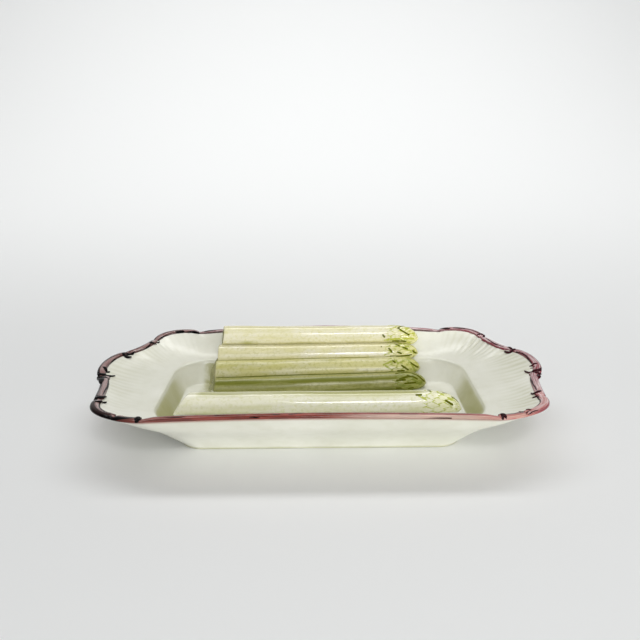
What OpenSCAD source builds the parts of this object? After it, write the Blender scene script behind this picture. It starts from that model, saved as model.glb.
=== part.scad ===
// Asparagus dish of glazed faience: a scalloped oblong dish whose end flanges are fluted,
// four spears luted side by side up the rear wall, one spear along the front wall,
// and a rim of separate scroll mouldings.
// +X points to the tips of the spears, +Y to the rear, +Z up; z = 0 is what the foot stands on.

/* [Dish] */
// Length over the end scrolls
dish_l = 415; // [395:5:460]
// Width over the rear corner scrolls and the front rim
dish_w = 220; // [205:5:250]
// Height that the crest of the rim moulding is a share of; it is highest behind the spears
rim_h = 58; // [55:0.5:62]
// Thickness of the flange
flange_t = 6.5; // [4:0.5:9]

/* [Well] */
// Length of the well at the edge where the flange begins
well_l = 286; // [270:2:300]
// Width of the flange in front of the well, with the rim
front_flange_w = 36; // [34:0.5:38]
// Width of the flange behind the well, with the rim
rear_flange_w = 40; // [38:0.5:42]
// Corner radius of the well at that edge
well_r = 34; // [28:1:44]
// Height of that edge
well_edge_h = 31; // [28:0.5:33]
// Length of the floor of the well
floor_l = 264; // [252:2:268]
// How far the well's wall leans out along the sides
wall_lean = 17; // [15:0.5:20]
// Corner radius of the floor
floor_r = 14; // [8:1:20]
// Height of the floor above what the foot stands on
floor_h = 12; // [9:0.5:12.5]

/* [Foot] */
// Length of the foot
foot_l = 241; // [226:1:246]
// How far the foot stands out from the floor of the well along the sides
foot_out = 4.5; // [0:0.5:6]
// Corner radius of the foot
foot_r = 16; // [12:1:26]
// Height of the foot's upright edge
foot_h = 1.5; // [1:0.25:2.5]
// Width of the ring that the foot stands on
foot_ring = 8; // [5:0.5:12]
// Depth of the recess inside the foot ring
foot_recess = 3.5; // [2:0.5:5]

/* [Flutes] */
// Depth of a flute beside the rim moulding
flute_d = 1.4; // [0.6:0.1:2.2]

/* [Rim moulding] */
// Width of the moulding
bead_w = 7; // [5:0.5:9]
// Height of the moulding above its ledge
bead_h = 2.3; // [1.5:0.1:4]

/* [Rear spears] */
// Radius that the girths of the rear spears are shares of
spear_r = 10.25; // [9.5:0.25:10.75]
// Mean distance between the middles of neighbouring rear spears
spear_pitch = 18.75; // [18:0.25:19.5]
// How far in front of the dish's rear side the top spear's middle lies
top_spear_in = 27.75; // [27:0.25:28.75]
// How far below the rim's height the top spear's middle lies
top_spear_down = 6.5; // [5.5:0.25:7]
// How far above the floor of the well the lowest rear spear's middle lies
low_spear_up = 4.75; // [4.5:0.25:6]
// Length of the lowest rear spear
spear_l = 212; // [190:2:220]
// Length of the scaled tip of a rear spear
spear_tip_l = 30; // [24:1:36]

/* [Front spear] */
// Radius of the front spear
front_r = 11; // [9.5:0.25:11.5]
// Length of the front spear
front_l = 238; // [216:2:242]
// How far behind the well's front edge its middle lies
front_spear_in = 7.25; // [6:0.25:9]
// Height of its middle
front_z = 44; // [43.5:0.25:46]
// Length of its scaled tip
front_tip_l = 36; // [28:1:42]
// Tilt of its bed towards the well, in degrees
front_tilt = 25; // [20:1:30]
// How far its slanting cut end runs back from foot to top
front_slant = 15; // [0:1:18]

/* [Bracts and beds] */
// How far the middle of a bract stands proud of its edges
bract_h = 1; // [0.4:0.1:1.4]
// Depth of the soft edge round a cut end
cut_edge = 1.5; // [0.5:0.25:2.5]
// How far the slip bed lies below a spear's middle, as a share of its radius
bed_share = 0.7; // [0.65:0.01:0.76]
// Joint between pieces that are luted together
lute_gap = 0.2; // [0.1:0.05:0.3]

/* [Hidden] */

// Glaze colours
ivory = "#E9E9DF";
rose = "#A8606A";
cream_green = "#DDDDB0";
pale_green = "#C9C98E";
olive = "#AEB06A";
deep_olive = "#8F9648";
bed_green = "#97A070";

half_l = dish_l / 2;
half_w = dish_w / 2;
well_w = dish_w - front_flange_w - rear_flange_w;
well_forward = (rear_flange_w - front_flange_w) / 2;
floor_w = well_w - 2 * wall_lean;
foot_w = floor_w + 2 * foot_out;

// The right end of the rim, from the front run to the rear run, as six scrolls.
// Each row: a cubic curve's four points, x as shares of half the length and y of half the
// width; then the crest's height at its start, middle and end as shares of the rim height.
end_scroll_shares = [
    [[0.674, -1.000], [0.710, -0.975], [0.760, -0.930], [0.795, -0.886], [0.900, 0.864, 0.845]],
    [[0.795, -0.886], [0.880, -0.810], [0.922, -0.690], [0.918, -0.540], [0.845, 0.841, 0.819]],
    [[0.918, -0.540], [0.935, -0.360], [0.945, -0.120], [0.988, -0.018], [0.819, 0.793, 0.784]],
    [[0.988, -0.018], [1.030, 0.110], [1.010, 0.400], [0.950, 0.510], [0.784, 0.828, 0.814]],
    [[0.950, 0.510], [0.892, 0.565], [0.865, 0.740], [0.848, 0.836], [0.814, 0.828, 0.828]],
    [[0.848, 0.836], [0.828, 1.010], [0.684, 1.020], [0.620, 0.971], [0.828, 0.903, 0.893]]];
// Steps along each of those scrolls, four to a flute
end_scroll_steps = [10, 14, 16, 14, 12, 14];
// Long runs: y at the ends and middle, then crest height at the ends and middle
front_run_shares = [-1.000, -0.992, 0.900, 0.938];
rear_run_shares = [0.971, 0.965, 0.893, 0.982];
run_steps = 14;

// Flange between the well's edge and the ledge: plan share, rise share, flute share
flange_shares = [[0.33, 0.20, 0.30], [0.67, 0.54, 0.75], [0.91, 0.88, 1.00]];
// Well wall between the floor's edge and the well's edge: plan share, rise share
wall_shares = [[0.00, 0.00], [0.12, 0.08], [0.90, 0.86]];
// Outside of the wall: distance from the well's edge as a share of the flange's thickness,
// and height as a share of the edge's height
under_wall_shares = [[1.40, 0.81], [-0.75, 0.42]];
// Underside of the flange halfway in: height between ledge and wall
under_flange_share = 0.66;
// Width of the moulding at a joint, one, two and three steps from it
scroll_width_shares = [0.72, 1.42, 1.18, 1.00];
// Height of the moulding at a joint, one, two and three steps from it
scroll_height_shares = [0.42, 0.88, 1.00, 1.00];
// How far the stroke beside the end knob reaches in, as a share of the moulding's width
knob_share = 0.6;
// Angles of the moulding's crown points across its width, as shares of a half turn
crown_shares = [1/6, 1/3, 1/2, 2/3, 5/6];
// Drop of the flange's outer edge under the ledge, and its inset, as shares of its thickness
edge_drop_share = 0.35;
edge_inset_share = 0.85;

// Starts and ends of the rear spears, bottom to top, as shares of the spear length
start_shares = [-0.507, -0.502, -0.498, -0.486];
end_shares = [0.502, 0.480, 0.477, 0.485];
// Ends of the front spear, as shares of its length
front_end_shares = [-0.511, 0.489];
// Girths of the rear spears, bottom to top, as shares of their radius
girth_shares = [1.005, 1.03, 0.965, 1.075];
// Height of their crowns over their middles, as shares of each one's own radius
relief_shares = [0.85, 0.68, 0.68, 1.15];
// How much wider the bank is at the butts than in its middle, and narrower at the tips
splay_share = 0.064;
// Slant of the rear spears' cut ends, as shares of the radius
slant_shares = [0.3, 0.1, 0.1, 0.55];
// Body of a spear: place along it and girth
body_shares = [[0.00, 1.00], [0.22, 0.985], [0.45, 1.00], [0.72, 0.99], [1.00, 1.00]];
// Rings of the tip: place along it and girth
tip_shares = [[0.00, 1.00], [0.17, 0.99], [0.34, 0.96], [0.51, 0.90], [0.67, 0.79],
    [0.82, 0.61], [0.93, 0.37]];
// How far a bract's crown lies along its diamond, how the narrowing tip droops, and the
// blunt point's radius as a share of the soft edge
crown_share = 0.62;
droop_share = 0.45;
point_share = 0.25;
// Places of the beds: front edge, back edge, ends
bed_front_share = 0.8;
bed_back_share = 0.55;
bed_end_shares = [0.93, 0.24];
front_bed_wall_share = 0.7;
front_bed_flange_share = 0.75;
front_bed_top_shares = [-0.55, 0.75];

function bezier(p, t) = pow(1 - t, 3) * p[0] + 3 * pow(1 - t, 2) * t * p[1]
    + 3 * (1 - t) * t * t * p[2] + t * t * t * p[3];
function through(a, m, b, t) = (1 - t) * a + t * b + 4 * (m - (a + b) / 2) * t * (1 - t);
function mix(a, b, t) = a + (b - a) * t;

// Width and height of the moulding, from its distance to the nearest joint in steps
function near_joint(shares, k, n) = shares[min(k, n - k, len(shares) - 1)];

// One end of the rim: x, y, crest height, moulding width, moulding height, depth of flute
last_scroll = len(end_scroll_shares) - 1;
end_steps = [for (s = 0, sum = 0; s <= last_scroll; sum = sum + end_scroll_steps[s], s = s + 1) sum];
end_total = end_steps[last_scroll] + end_scroll_steps[last_scroll];
// Steps over which the flutes fade in beside the long runs, and steps to a flute
fade_steps = 6;
flute_steps = 4;
// Points round a spear
around = 24;
knob_step = end_steps[3];
function knob_bump(i) = max(0, 1 - abs(i - knob_step + 1) / 2);
end_rim = [for (s = [0:last_scroll]) for (k = [0:end_scroll_steps[s] - (s == last_scroll ? 0 : 1)])
    let (p = end_scroll_shares[s], n = end_scroll_steps[s], t = k / n,
        i = end_steps[s] + k, xy = bezier([p[0], p[1], p[2], p[3]], t))
    [xy[0], xy[1], through(p[4][0], p[4][1], p[4][2], t),
        near_joint(scroll_width_shares, k, n) + knob_share * knob_bump(i),
        near_joint(scroll_height_shares, k, n),
        min(1, i / fade_steps, (end_total - i) / fade_steps) * (1 - cos(360 * i / flute_steps)) / 2]];
function run(shares, x_from, x_to) = [for (k = [1:run_steps - 1]) let (t = k / run_steps)
    [mix(x_from, x_to, t), through(shares[0], shares[1], shares[0], t),
        through(shares[2], shares[3], shares[2], t), 1, 1, 0]];
function flip(row) = [-row[0], row[1], row[2], row[3], row[4], row[5]];
rear_x = end_scroll_shares[last_scroll][3][0];
front_x = end_scroll_shares[0][0][0];
rim_raw = concat(end_rim, run(rear_run_shares, rear_x, -rear_x),
    [for (i = [end_total:-1:0]) flip(end_rim[i])], run(front_run_shares, -front_x, front_x));
count = len(rim_raw);
front_run_step = 2 * end_total + run_steps;
x_reach = max([for (r = rim_raw) r[0]]);
y_top = max([for (r = rim_raw) r[1]]);
y_low = min([for (r = rim_raw) r[1]]);

// Rim crest points in plan, fitted to the length and width
rim = [for (r = rim_raw) [half_l * r[0] / x_reach,
    half_w * (2 * (r[1] - y_low) / (y_top - y_low) - 1)]];
crest = [for (r = rim_raw) rim_h * r[2]];

// Nearest point to p on a rounded rectangle about the well's middle
function on_ring(p, l, w, r) = let (
        cx = max(-(l / 2 - r), min(l / 2 - r, p[0])),
        cy = max(-(w / 2 - r), min(w / 2 - r, p[1] + well_forward)),
        v = [p[0] - cx, p[1] + well_forward - cy])
    [cx, cy - well_forward] + r * v / norm(v);
function lift(p, z) = [p[0], p[1], z];

// Rings of the dish at step i
function floor_edge(i) = on_ring(rim[i], floor_l, floor_w, floor_r);
function well_edge(i) = on_ring(rim[i], well_l, well_w, well_r);
function inward(i) = let (v = well_edge(i) - rim[i]) v / norm(v);
function ledge_z(i) = crest[i] - bead_h;
function ledge_out(i) = lift(rim[i], ledge_z(i));
function ledge_in(i) = lift(rim[i] + inward(i) * bead_w * rim_raw[i][3], ledge_z(i));
function flute(i) = -flute_d * rim_raw[i][5];
function flange_at(i, row) = let (e = well_edge(i), l = ledge_in(i))
    lift(mix(e, [l[0], l[1]], row[0]),
        mix(well_edge_h, l[2], row[1]) + flute(i) * row[2]);
function wall_at(i, row) = lift(mix(floor_edge(i), well_edge(i), row[0]),
    mix(floor_h, well_edge_h, row[1]));
function edge_under(i) = lift(rim[i] + inward(i) * flange_t * edge_inset_share,
    ledge_z(i) - flange_t * edge_drop_share);
function out_ring(i, grow) =
    on_ring(rim[i], well_l + 2 * grow, well_w + 2 * grow, well_r + grow);
function under_wall(i, row) = lift(out_ring(i, flange_t * row[0]), well_edge_h * row[1]);
function under_flange(i) = let (q = edge_under(i), w = under_wall(i, under_wall_shares[0]))
    [(q[0] + w[0]) / 2, (q[1] + w[1]) / 2,
        mix(ledge_z(i), well_edge_h - flange_t, under_flange_share)];
function foot_at(i, inset, z) = lift(on_ring(rim[i], foot_l - inset * 2,
    foot_w - inset * 2, foot_r - inset), z);

dish_rings = [
    for (row = wall_shares) [for (i = [0:count - 1]) wall_at(i, row)],
    [for (i = [0:count - 1]) lift(well_edge(i), well_edge_h)],
    for (row = flange_shares) [for (i = [0:count - 1]) flange_at(i, row)],
    [for (i = [0:count - 1]) ledge_in(i)],
    [for (i = [0:count - 1]) ledge_out(i)],
    [for (i = [0:count - 1]) edge_under(i)],
    [for (i = [0:count - 1]) under_flange(i)],
    for (row = under_wall_shares) [for (i = [0:count - 1]) under_wall(i, row)],
    [for (i = [0:count - 1]) foot_at(i, 0, foot_h)],
    [for (i = [0:count - 1]) foot_at(i, 0, 0)],
    [for (i = [0:count - 1]) foot_at(i, foot_ring, 0)],
    [for (i = [0:count - 1]) foot_at(i, foot_ring, foot_recess)]];

// A closed solid through rings of equal length; the first and last rings are capped
module loft(rings) {
    m = len(rings);
    n = len(rings[0]);
    polyhedron(
        points = [for (r = rings) for (p = r) p],
        faces = concat(
            [[for (i = [n - 1:-1:0]) i]],
            [for (j = [0:m - 2]) for (i = [0:n - 1]) let (a = j * n + i, b = j * n + (i + 1) % n)
                each [[a, b, a + n], [b, b + n, a + n]]],
            [[for (i = [0:n - 1]) (m - 1) * n + i]]),
        convexity = 8);
}

module dish() {
    color(ivory) loft(dish_rings);
}

// The moulding's cross-section at step i: flat on its ledge, round above
function bead_section(i) = let (a = ledge_in(i), b = ledge_out(i), m = (a + b) / 2)
    concat([b], [for (s = crown_shares) m + (b - m) * cos(180 * s)
        + [0, 0, bead_h * rim_raw[i][4] * sin(180 * s)]], [a]);

module bead(from, steps) {
    color(rose) loft([for (k = [0:steps]) bead_section((from + k) % count)]);
}

module rim_front() { bead(front_run_step, run_steps); }
module rim_rear() { bead(end_total, run_steps); }

// Scroll s of the right end, and its mirror on the left
module scroll_right(s) { bead(end_steps[s], end_scroll_steps[s]); }
module scroll_left(s) {
    bead(front_run_step - end_steps[s] - end_scroll_steps[s], end_scroll_steps[s]);
}
module front_link_right() { scroll_right(0); }
module front_corner_scroll_right() { scroll_right(1); }
module knob_scroll_right() { scroll_right(2); }
module end_scroll_right() { scroll_right(3); }
module rear_link_right() { scroll_right(4); }
module rear_corner_scroll_right() { scroll_right(5); }
module front_link_left() { scroll_left(0); }
module front_corner_scroll_left() { scroll_left(1); }
module knob_scroll_left() { scroll_left(2); }
module end_scroll_left() { scroll_left(3); }
module rear_link_left() { scroll_left(4); }
module rear_corner_scroll_left() { scroll_left(5); }

// A spear in its own frame: x along it, u across the bank, w out of the bed.
// limits holds the flats: how far it reaches to either side, and down to its bed.
function clamp(v, lo, hi) = max(lo, min(hi, v));
function girth_point(r, angle, limits, drop) =
    [clamp(r * cos(angle), limits[0], limits[1]), max(r * sin(angle) - drop, -limits[2])];
function spear_ring(x, r, slant, limits) = [for (k = [0:around - 1])
    let (q = girth_point(r, 360 * k / around, limits, 0))
    [x + slant * (q[1] / r + 1) / 2, q[0], q[1]]];
function tip_point(x, r, full_r, angle, limits) =
    let (q = girth_point(r, angle, limits, (full_r - r) * droop_share)) [x, q[0], q[1]];

// From a spear's frame to the dish's: its middle lies lane mm up the bank from c = [y, z],
// the bank is turned by slope and splays towards the butts, relief scales what stands
// above the middle, and nothing goes below the floor
function placed(p, c, slope, lane, splay, relief) = let (s = 1 - 2 * splay * p[0] / spear_l,
        u = (lane + p[1]) * s, w = p[2] > 0 ? p[2] * s * relief : p[2])
    [p[0], c[0] + u * cos(slope) - w * sin(slope),
        max(c[1] + u * sin(slope) + w * cos(slope), floor_h + lute_gap)];

// Rings along the body, then the tip's diamond lattice with one raised bract to a diamond
module spear(x0, x1, r, tip_l, slant, limits, c, slope, lane, splay, relief) {
    half = around / 2;
    step = 360 / half;
    xt = x1 - tip_l;
    trim = [cut_edge, -cut_edge, -cut_edge];
    body = concat([spear_ring(x0, r - cut_edge, slant, limits + trim)],
        [for (row = body_shares) spear_ring(mix(x0 + cut_edge, xt, row[0]), r * row[1],
            slant * (1 - ceil(row[0])), limits)]);
    nb = len(body);
    nt = len(tip_shares);
    lattice = [for (j = [1:nt - 1]) for (k = [0:half - 1])
        tip_point(mix(xt, x1, tip_shares[j][0]), r * tip_shares[j][1], r,
            step * (k + j / 2), limits)];
    bracts = [for (j = [0:nt - 3]) for (k = [0:half - 1]) let (
            g = mix(tip_shares[j][1], tip_shares[j + 2][1], crown_share),
            s = mix(tip_shares[j][0], tip_shares[j + 2][0], crown_share))
        tip_point(mix(xt, x1, s), r * g + bract_h, r, step * (k + j / 2 + 1), limits)];
    last = (nb - 1) * around;
    first_bract = nb * around + len(lattice);
    apex = first_bract + len(bracts);
    // Lattice node k of row j; row 0 is every second point of the body's last ring
    function at(j, k) = j == 0 ? last + 2 * (k % half)
        : nb * around + (j - 1) * half + (k % half);
    own_points = concat([for (b = body) each b], lattice, bracts,
        [tip_point(x1, cut_edge * point_share, r, 90, limits)]);
    polyhedron(
        points = [for (p = own_points) placed(p, c, slope, lane, splay, relief)],
        faces = concat(
            [[for (i = [0:around - 1]) i]],
            [for (j = [0:nb - 2]) for (i = [0:around - 1])
                let (a = j * around + i, b = j * around + (i + 1) % around)
                each [[a, a + around, b], [b, a + around, b + around]]],
            [for (k = [0:half - 1]) each [
                [last + 2 * k, at(1, k), last + 2 * k + 1],
                [last + 2 * k + 1, at(1, k), last + (2 * k + 2) % around]]],
            [for (j = [0:nt - 3]) for (k = [0:half - 1]) let (
                    b = first_bract + j * half + k, low = at(j, k + 1), high = at(j + 2, k),
                    right = at(j + 1, k + 1), left = at(j + 1, k))
                each [[low, b, right], [right, b, high], [high, b, left], [left, b, low]]],
            [for (k = [0:half - 1]) each [
                [at(nt - 2, k + 1), at(nt - 1, k), at(nt - 1, k + 1)],
                [at(nt - 1, k), apex, at(nt - 1, k + 1)]]]),
        convexity = 4);
}

// The bank rises from the floor to the rim, its spears counted from the lowest.
// Each takes up a strip of the bank in step with its girth.
top_spear = len(start_shares) - 1;
bank_l = top_spear * spear_pitch;
bank_slope = asin((rim_h - top_spear_down - floor_h - low_spear_up) / bank_l);
top_centre = [half_w - top_spear_in, rim_h - top_spear_down];
function girths(n) = n < 0 ? 0 : girth_shares[n] + girths(n - 1);
strip = bank_l / (2 * girths(top_spear) - girth_shares[0] - girth_shares[top_spear]);
function lane(n) = -strip * (2 * (girths(top_spear) - girths(n)) + girth_shares[n]
    - girth_shares[top_spear]);
low_centre = top_centre + lane(0) * [cos(bank_slope), sin(bank_slope)];
module bank_spear(n, tint) {
    r = spear_r * girth_shares[n];
    side = strip * girth_shares[n] - lute_gap / 2;
    color(tint) spear(spear_l * start_shares[n], spear_l * end_shares[n], r, spear_tip_l,
        r * slant_shares[n],
        [n == 0 ? -r : -side, n == top_spear ? r : side, spear_r * bed_share],
        top_centre, bank_slope, lane(n), splay_share, relief_shares[n]);
}
module spear_bottom() { bank_spear(0, deep_olive); }
module spear_lower() { bank_spear(1, olive); }
module spear_upper() { bank_spear(2, pale_green); }
module spear_top() { bank_spear(3, cream_green); }

front_centre = [front_spear_in - well_w / 2 - well_forward, front_z];
module front_spear() {
    color(cream_green) spear(front_l * front_end_shares[0], front_l * front_end_shares[1],
        front_r, front_tip_l, front_slant,
        [-front_r, front_r, front_r * bed_share], front_centre, -front_tilt, 0, 0, 1);
}

// Height of a bed's top at y, one joint below the flat undersides of spears of radius r
function bed_top(y, c, r, slope) =
    c[1] + (y - c[0]) * tan(slope) - (r * bed_share + lute_gap) / cos(slope);
function raised(p) = p + [0, 0, lute_gap];

// Rear bed: follows the floor, wall and flange under the bank
function bank_section(i) = let (
        edge = raised(wall_at(i, wall_shares[0])),
        y0 = low_centre[0] + spear_r * bed_front_share,
        back = raised(mix(flange_at(i, flange_shares[1]), flange_at(i, flange_shares[2]),
            bed_back_share)))
    concat([[edge[0], y0, edge[2]]],
        [for (row = wall_shares) raised(wall_at(i, row))],
        [raised(lift(well_edge(i), well_edge_h))],
        [for (n = [0, 1]) raised(flange_at(i, flange_shares[n]))],
        [back, lift(back, bed_top(back[1], low_centre, spear_r, bank_slope)),
            [edge[0], y0, bed_top(y0, low_centre, spear_r, bank_slope)]]);
module spear_bed() {
    a = end_total + 1;
    b = end_total + run_steps - 1;
    color(bed_green) loft(concat([mix(bank_section(a), bank_section(a + 1), bed_end_shares[0])],
        [for (i = [a + 1:b - 1]) bank_section(i)],
        [mix(bank_section(b), bank_section(b - 1), bed_end_shares[1])]));
}

// Front bed: follows the top of the wall and the start of the flange
function front_section(i) = let (
        wall = wall_at(i, wall_shares[2]), edge = lift(well_edge(i), well_edge_h),
        u = front_r * front_bed_top_shares, h = front_r * bed_share + lute_gap)
    concat([raised(mix(wall_at(i, wall_shares[1]), wall, front_bed_wall_share)), raised(wall),
            raised(edge), raised(mix(edge, flange_at(i, flange_shares[0]),
            front_bed_flange_share))],
        [for (v = u) placed([edge[0], v, -h], front_centre, -front_tilt, 0, 0, 1)]);
module front_spear_bed() {
    color(ivory) loft([for (k = [1:run_steps - 1]) front_section(front_run_step + k)]);
}

dish();
spear_bed();
spear_bottom();
spear_lower();
spear_upper();
spear_top();
front_spear_bed();
front_spear();
rim_front();
rim_rear();
front_link_right();
front_corner_scroll_right();
knob_scroll_right();
end_scroll_right();
rear_link_right();
rear_corner_scroll_right();
rear_corner_scroll_left();
rear_link_left();
end_scroll_left();
knob_scroll_left();
front_corner_scroll_left();
front_link_left();
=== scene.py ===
# Asparagus dish of glazed faience: the looks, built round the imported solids.
# Lengths in the dictionaries are millimetres and are turned into metres where they are used.
import math
from functools import partialmethod

import bmesh
import bpy
from mathutils import Euler, Matrix, Vector, noise
from mathutils.bvhtree import BVHTree


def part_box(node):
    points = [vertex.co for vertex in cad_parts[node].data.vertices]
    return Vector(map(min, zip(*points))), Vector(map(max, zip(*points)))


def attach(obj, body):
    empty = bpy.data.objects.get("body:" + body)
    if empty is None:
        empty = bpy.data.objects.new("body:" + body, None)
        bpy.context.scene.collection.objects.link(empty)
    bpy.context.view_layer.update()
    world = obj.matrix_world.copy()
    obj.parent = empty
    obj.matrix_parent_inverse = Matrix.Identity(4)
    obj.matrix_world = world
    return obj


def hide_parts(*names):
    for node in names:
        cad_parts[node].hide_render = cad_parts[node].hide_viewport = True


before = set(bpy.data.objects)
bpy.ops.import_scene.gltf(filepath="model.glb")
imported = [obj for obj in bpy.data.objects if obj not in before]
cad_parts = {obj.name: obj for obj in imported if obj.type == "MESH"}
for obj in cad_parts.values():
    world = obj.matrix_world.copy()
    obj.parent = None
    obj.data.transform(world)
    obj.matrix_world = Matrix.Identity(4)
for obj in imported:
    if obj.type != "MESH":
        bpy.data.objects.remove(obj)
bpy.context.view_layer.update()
mm = 0.001
# keeps a division by a length away from zero
tiny = 1e-7

# Curves and blends


def between(a, b, t):
    return a + (b - a) * t


def clampTo(value, low, high):
    return max(low, min(high, value))


def evenly(start, end, count):
    return [between(start, end, k / count) for k in range(count + 1)]


def easeStep(low, high, value):
    t = clampTo((value - low) / (high - low), 0, 1)
    return t * t * (3 - 2 * t)


def throughMiddle(start, middle, end, t):
    return (1 - t) * start + t * end + 4 * (middle - (start + end) / 2) * t * (1 - t)


def bezierPoint(curve, t):
    weights = ((1 - t) ** 3, 3 * t * (1 - t) ** 2, 3 * t * t * (1 - t), t ** 3)
    return Vector([sum(w * p[axis] for w, p in zip(weights, curve)) for axis in (0, 1)])


def shareAt(shares, place):
    # reads a short list of shares at a place between its entries
    place = min(place, len(shares) - 1)
    low = min(int(place), len(shares) - 2)
    return between(shares[low], shares[low + 1], easeStep(0, 1, place - low))


def inPairs(row):
    return list(zip(row[::2], row[1::2]))


def smoothSpan(before, start, end, after, t):
    # centripetal curve between two points, bent by their neighbours
    knots = [0.0]
    row = [before, start, end, after]
    for a, b in zip(row, row[1:]):
        knots.append(knots[-1] + max((b - a).length, tiny) ** 0.5)
    at = between(knots[1], knots[2], t)

    def blend(p, q, low, high):
        return (p * (high - at) + q * (at - low)) / (high - low)

    a1 = blend(before, start, knots[0], knots[1])
    a2 = blend(start, end, knots[1], knots[2])
    a3 = blend(end, after, knots[2], knots[3])
    b1 = blend(a1, a2, knots[0], knots[2])
    b2 = blend(a2, a3, knots[1], knots[3])
    return blend(b1, b2, knots[1], knots[2])


def smoothLine(points, spans):
    # the points with extra ones between them: spans says how many pieces each gap is cut into
    ends = [points[0] * 2 - points[1]] + list(points) + [points[-1] * 2 - points[-2]]
    line = []
    for k, pieces in enumerate(spans):
        for step in range(pieces):
            line.append(smoothSpan(*ends[k:k + 4], step / pieces))
    line.append(points[-1].copy())
    return line


def onLine(place, start, end):
    # how far along the line from start to end the nearest place lies, and its distance
    ahead = end - start
    share = clampTo((place - start).dot(ahead) / max(ahead.length_squared, tiny), 0, 1)
    return share, (place - start - ahead * share).length


# Mesh helpers


def closedEdges(bm, ring):
    return [bm.edges.get(pair) for pair in zip(ring, ring[1:] + ring[:1])]


def newLayers(bm, *names):
    # numbers that the glazes read at each vert
    return [bm.verts.layers.float.new(name) for name in names]


def growRing(bm, ring, places):
    # extrudes the closed ring and moves the new one to its places
    grown = bmesh.ops.extrude_edge_only(bm, edges=closedEdges(bm, ring))["geom"]
    fresh = {v for v in grown if isinstance(v, bmesh.types.BMVert)}
    following = []
    for vert, place in zip(ring, places):
        mate = next(e.other_vert(vert) for e in vert.link_edges if e.other_vert(vert) in fresh)
        mate.co = place
        following.append(mate)
    return following


def loftRings(bm, rings):
    # a closed skin through rings of places, with both ends filled; gives the rings of verts
    ring = bmesh.ops.create_circle(bm, segments=len(rings[0]), radius=1)["verts"]
    for vert, place in zip(ring, rings[0]):
        vert.co = place
    made = [ring]
    for places in rings[1:]:
        ring = growRing(bm, ring, places)
        made.append(ring)
    for end in (made[0], made[-1]):
        bmesh.ops.edgeloop_fill(bm, edges=closedEdges(bm, end))
    return made


def showMesh(name, bm, material):
    # the finished mesh, smooth, as an object of the scene
    bmesh.ops.recalc_face_normals(bm, faces=bm.faces)
    mesh = bpy.data.meshes.new(name)
    bm.to_mesh(mesh)
    bm.free()
    mesh.polygons.foreach_set("use_smooth", [True] * len(mesh.polygons))
    mesh.materials.append(material)
    shown = bpy.data.objects.new(name, mesh)
    bpy.context.scene.collection.objects.link(shown)
    return shown


def finishPiece(name, bm, node, material):
    piece = showMesh(name, bm, material)
    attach(piece, "root")
    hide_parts(node)


# Materials


def linearColour(text):
    # a colour as a designer writes it, turned into the renderer's linear light
    channels = [int(text[k:k + 2], 16) / 255 for k in (1, 3, 5)]
    return [c / 12.92 if c <= 0.04045 else ((c + 0.055) / 1.055) ** 2.4 for c in channels] + [1]


# the sockets of the colour mix: its share, its two colours and its result
mixShare, mixFirst, mixSecond, mixResult = 0, 6, 7, 2


class GlazeMaterial:
    # a material being wired: short calls for the nodes that the glazes share
    def __init__(self, name, gloss, look):
        self.look = look
        self.material = bpy.data.materials.new(name)
        self.material.use_nodes = True
        self.tree = self.material.node_tree
        self.shader = self.tree.nodes["Principled BSDF"].inputs
        for socket, value in gloss.items():
            self.feed(value, self.shader[socket])

    def feed(self, value, target):
        # a socket is joined, a number or a tone named in the look is set
        if isinstance(value, bpy.types.NodeSocket):
            self.tree.links.new(value, target)
        else:
            target.default_value = linearColour(self.look[value]) if isinstance(value, str) else value

    def node(self, kind, inputs, output, **settings):
        # a new node with its inputs fed, and the socket that it gives
        made = self.tree.nodes.new("ShaderNode" + kind)
        for key, value in settings.items():
            setattr(made, key, value)
        for socket, value in inputs.items():
            self.feed(value, made.inputs[socket])
        return made.outputs[output]

    def place(self, scale=(1, 1, 1)):
        spot = self.node("TexCoord", {}, "Object")
        return self.node("Mapping", {"Vector": spot, "Scale": scale}, "Vector")

    def attribute(self, name):
        return self.node("Attribute", {}, "Fac", attribute_name=name)

    def mottle(self, vector, scale, detail=3.0, roughness=0.55, distortion=0.0):
        inputs = {"Vector": vector, "Scale": scale, "Detail": detail, "Roughness": roughness}
        return self.node("TexNoise", dict(inputs, Distortion=distortion), "Fac")

    def sum(self, operation, first, second):
        return self.node("Math", {0: first, 1: second}, 0, operation=operation)

    plus = partialmethod(sum, "ADD")
    less = partialmethod(sum, "SUBTRACT")
    times = partialmethod(sum, "MULTIPLY")
    most = partialmethod(sum, "MAXIMUM")

    def spread(self, value, low, high, newLow=0.0, newHigh=1.0):
        # softly from one share to another as the value goes from low to high
        inputs = {"Value": value, "From Min": low, "From Max": high, "To Min": newLow, "To Max": newHigh}
        return self.node("MapRange", inputs, "Result", interpolation_type="SMOOTHSTEP")

    def blend(self, share, first, second):
        inputs = {mixShare: share, mixFirst: first, mixSecond: second}
        return self.node("Mix", inputs, mixResult, data_type="RGBA")

    def coat(self, share, tone):
        # a further tone over what is there already
        self.colour = self.blend(share, self.colour, tone)

    def dull(self, share, ranges):
        # where the share is one, the gloss sockets have their second value
        for socket, (glossy, dulled) in ranges.items():
            self.feed(self.spread(share, 0.0, 1.0, glossy, dulled), self.shader[socket])

    def finish(self, height, strength, distance):
        # small swells in the glaze, and the colour
        bump = self.node("Bump", {"Strength": strength, "Distance": distance, "Height": height}, "Normal")
        self.feed(bump, self.shader["Normal"])
        self.feed(self.colour, self.shader["Base Color"])
        return self.material


glossyGlaze = {"Roughness": 0.16, "IOR": 1.5, "Coat Weight": 0.35, "Coat Roughness": 0.05}
satinGlaze = {"Roughness": 0.3, "IOR": 1.48, "Coat Weight": 0.15, "Coat Roughness": 0.16}
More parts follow.
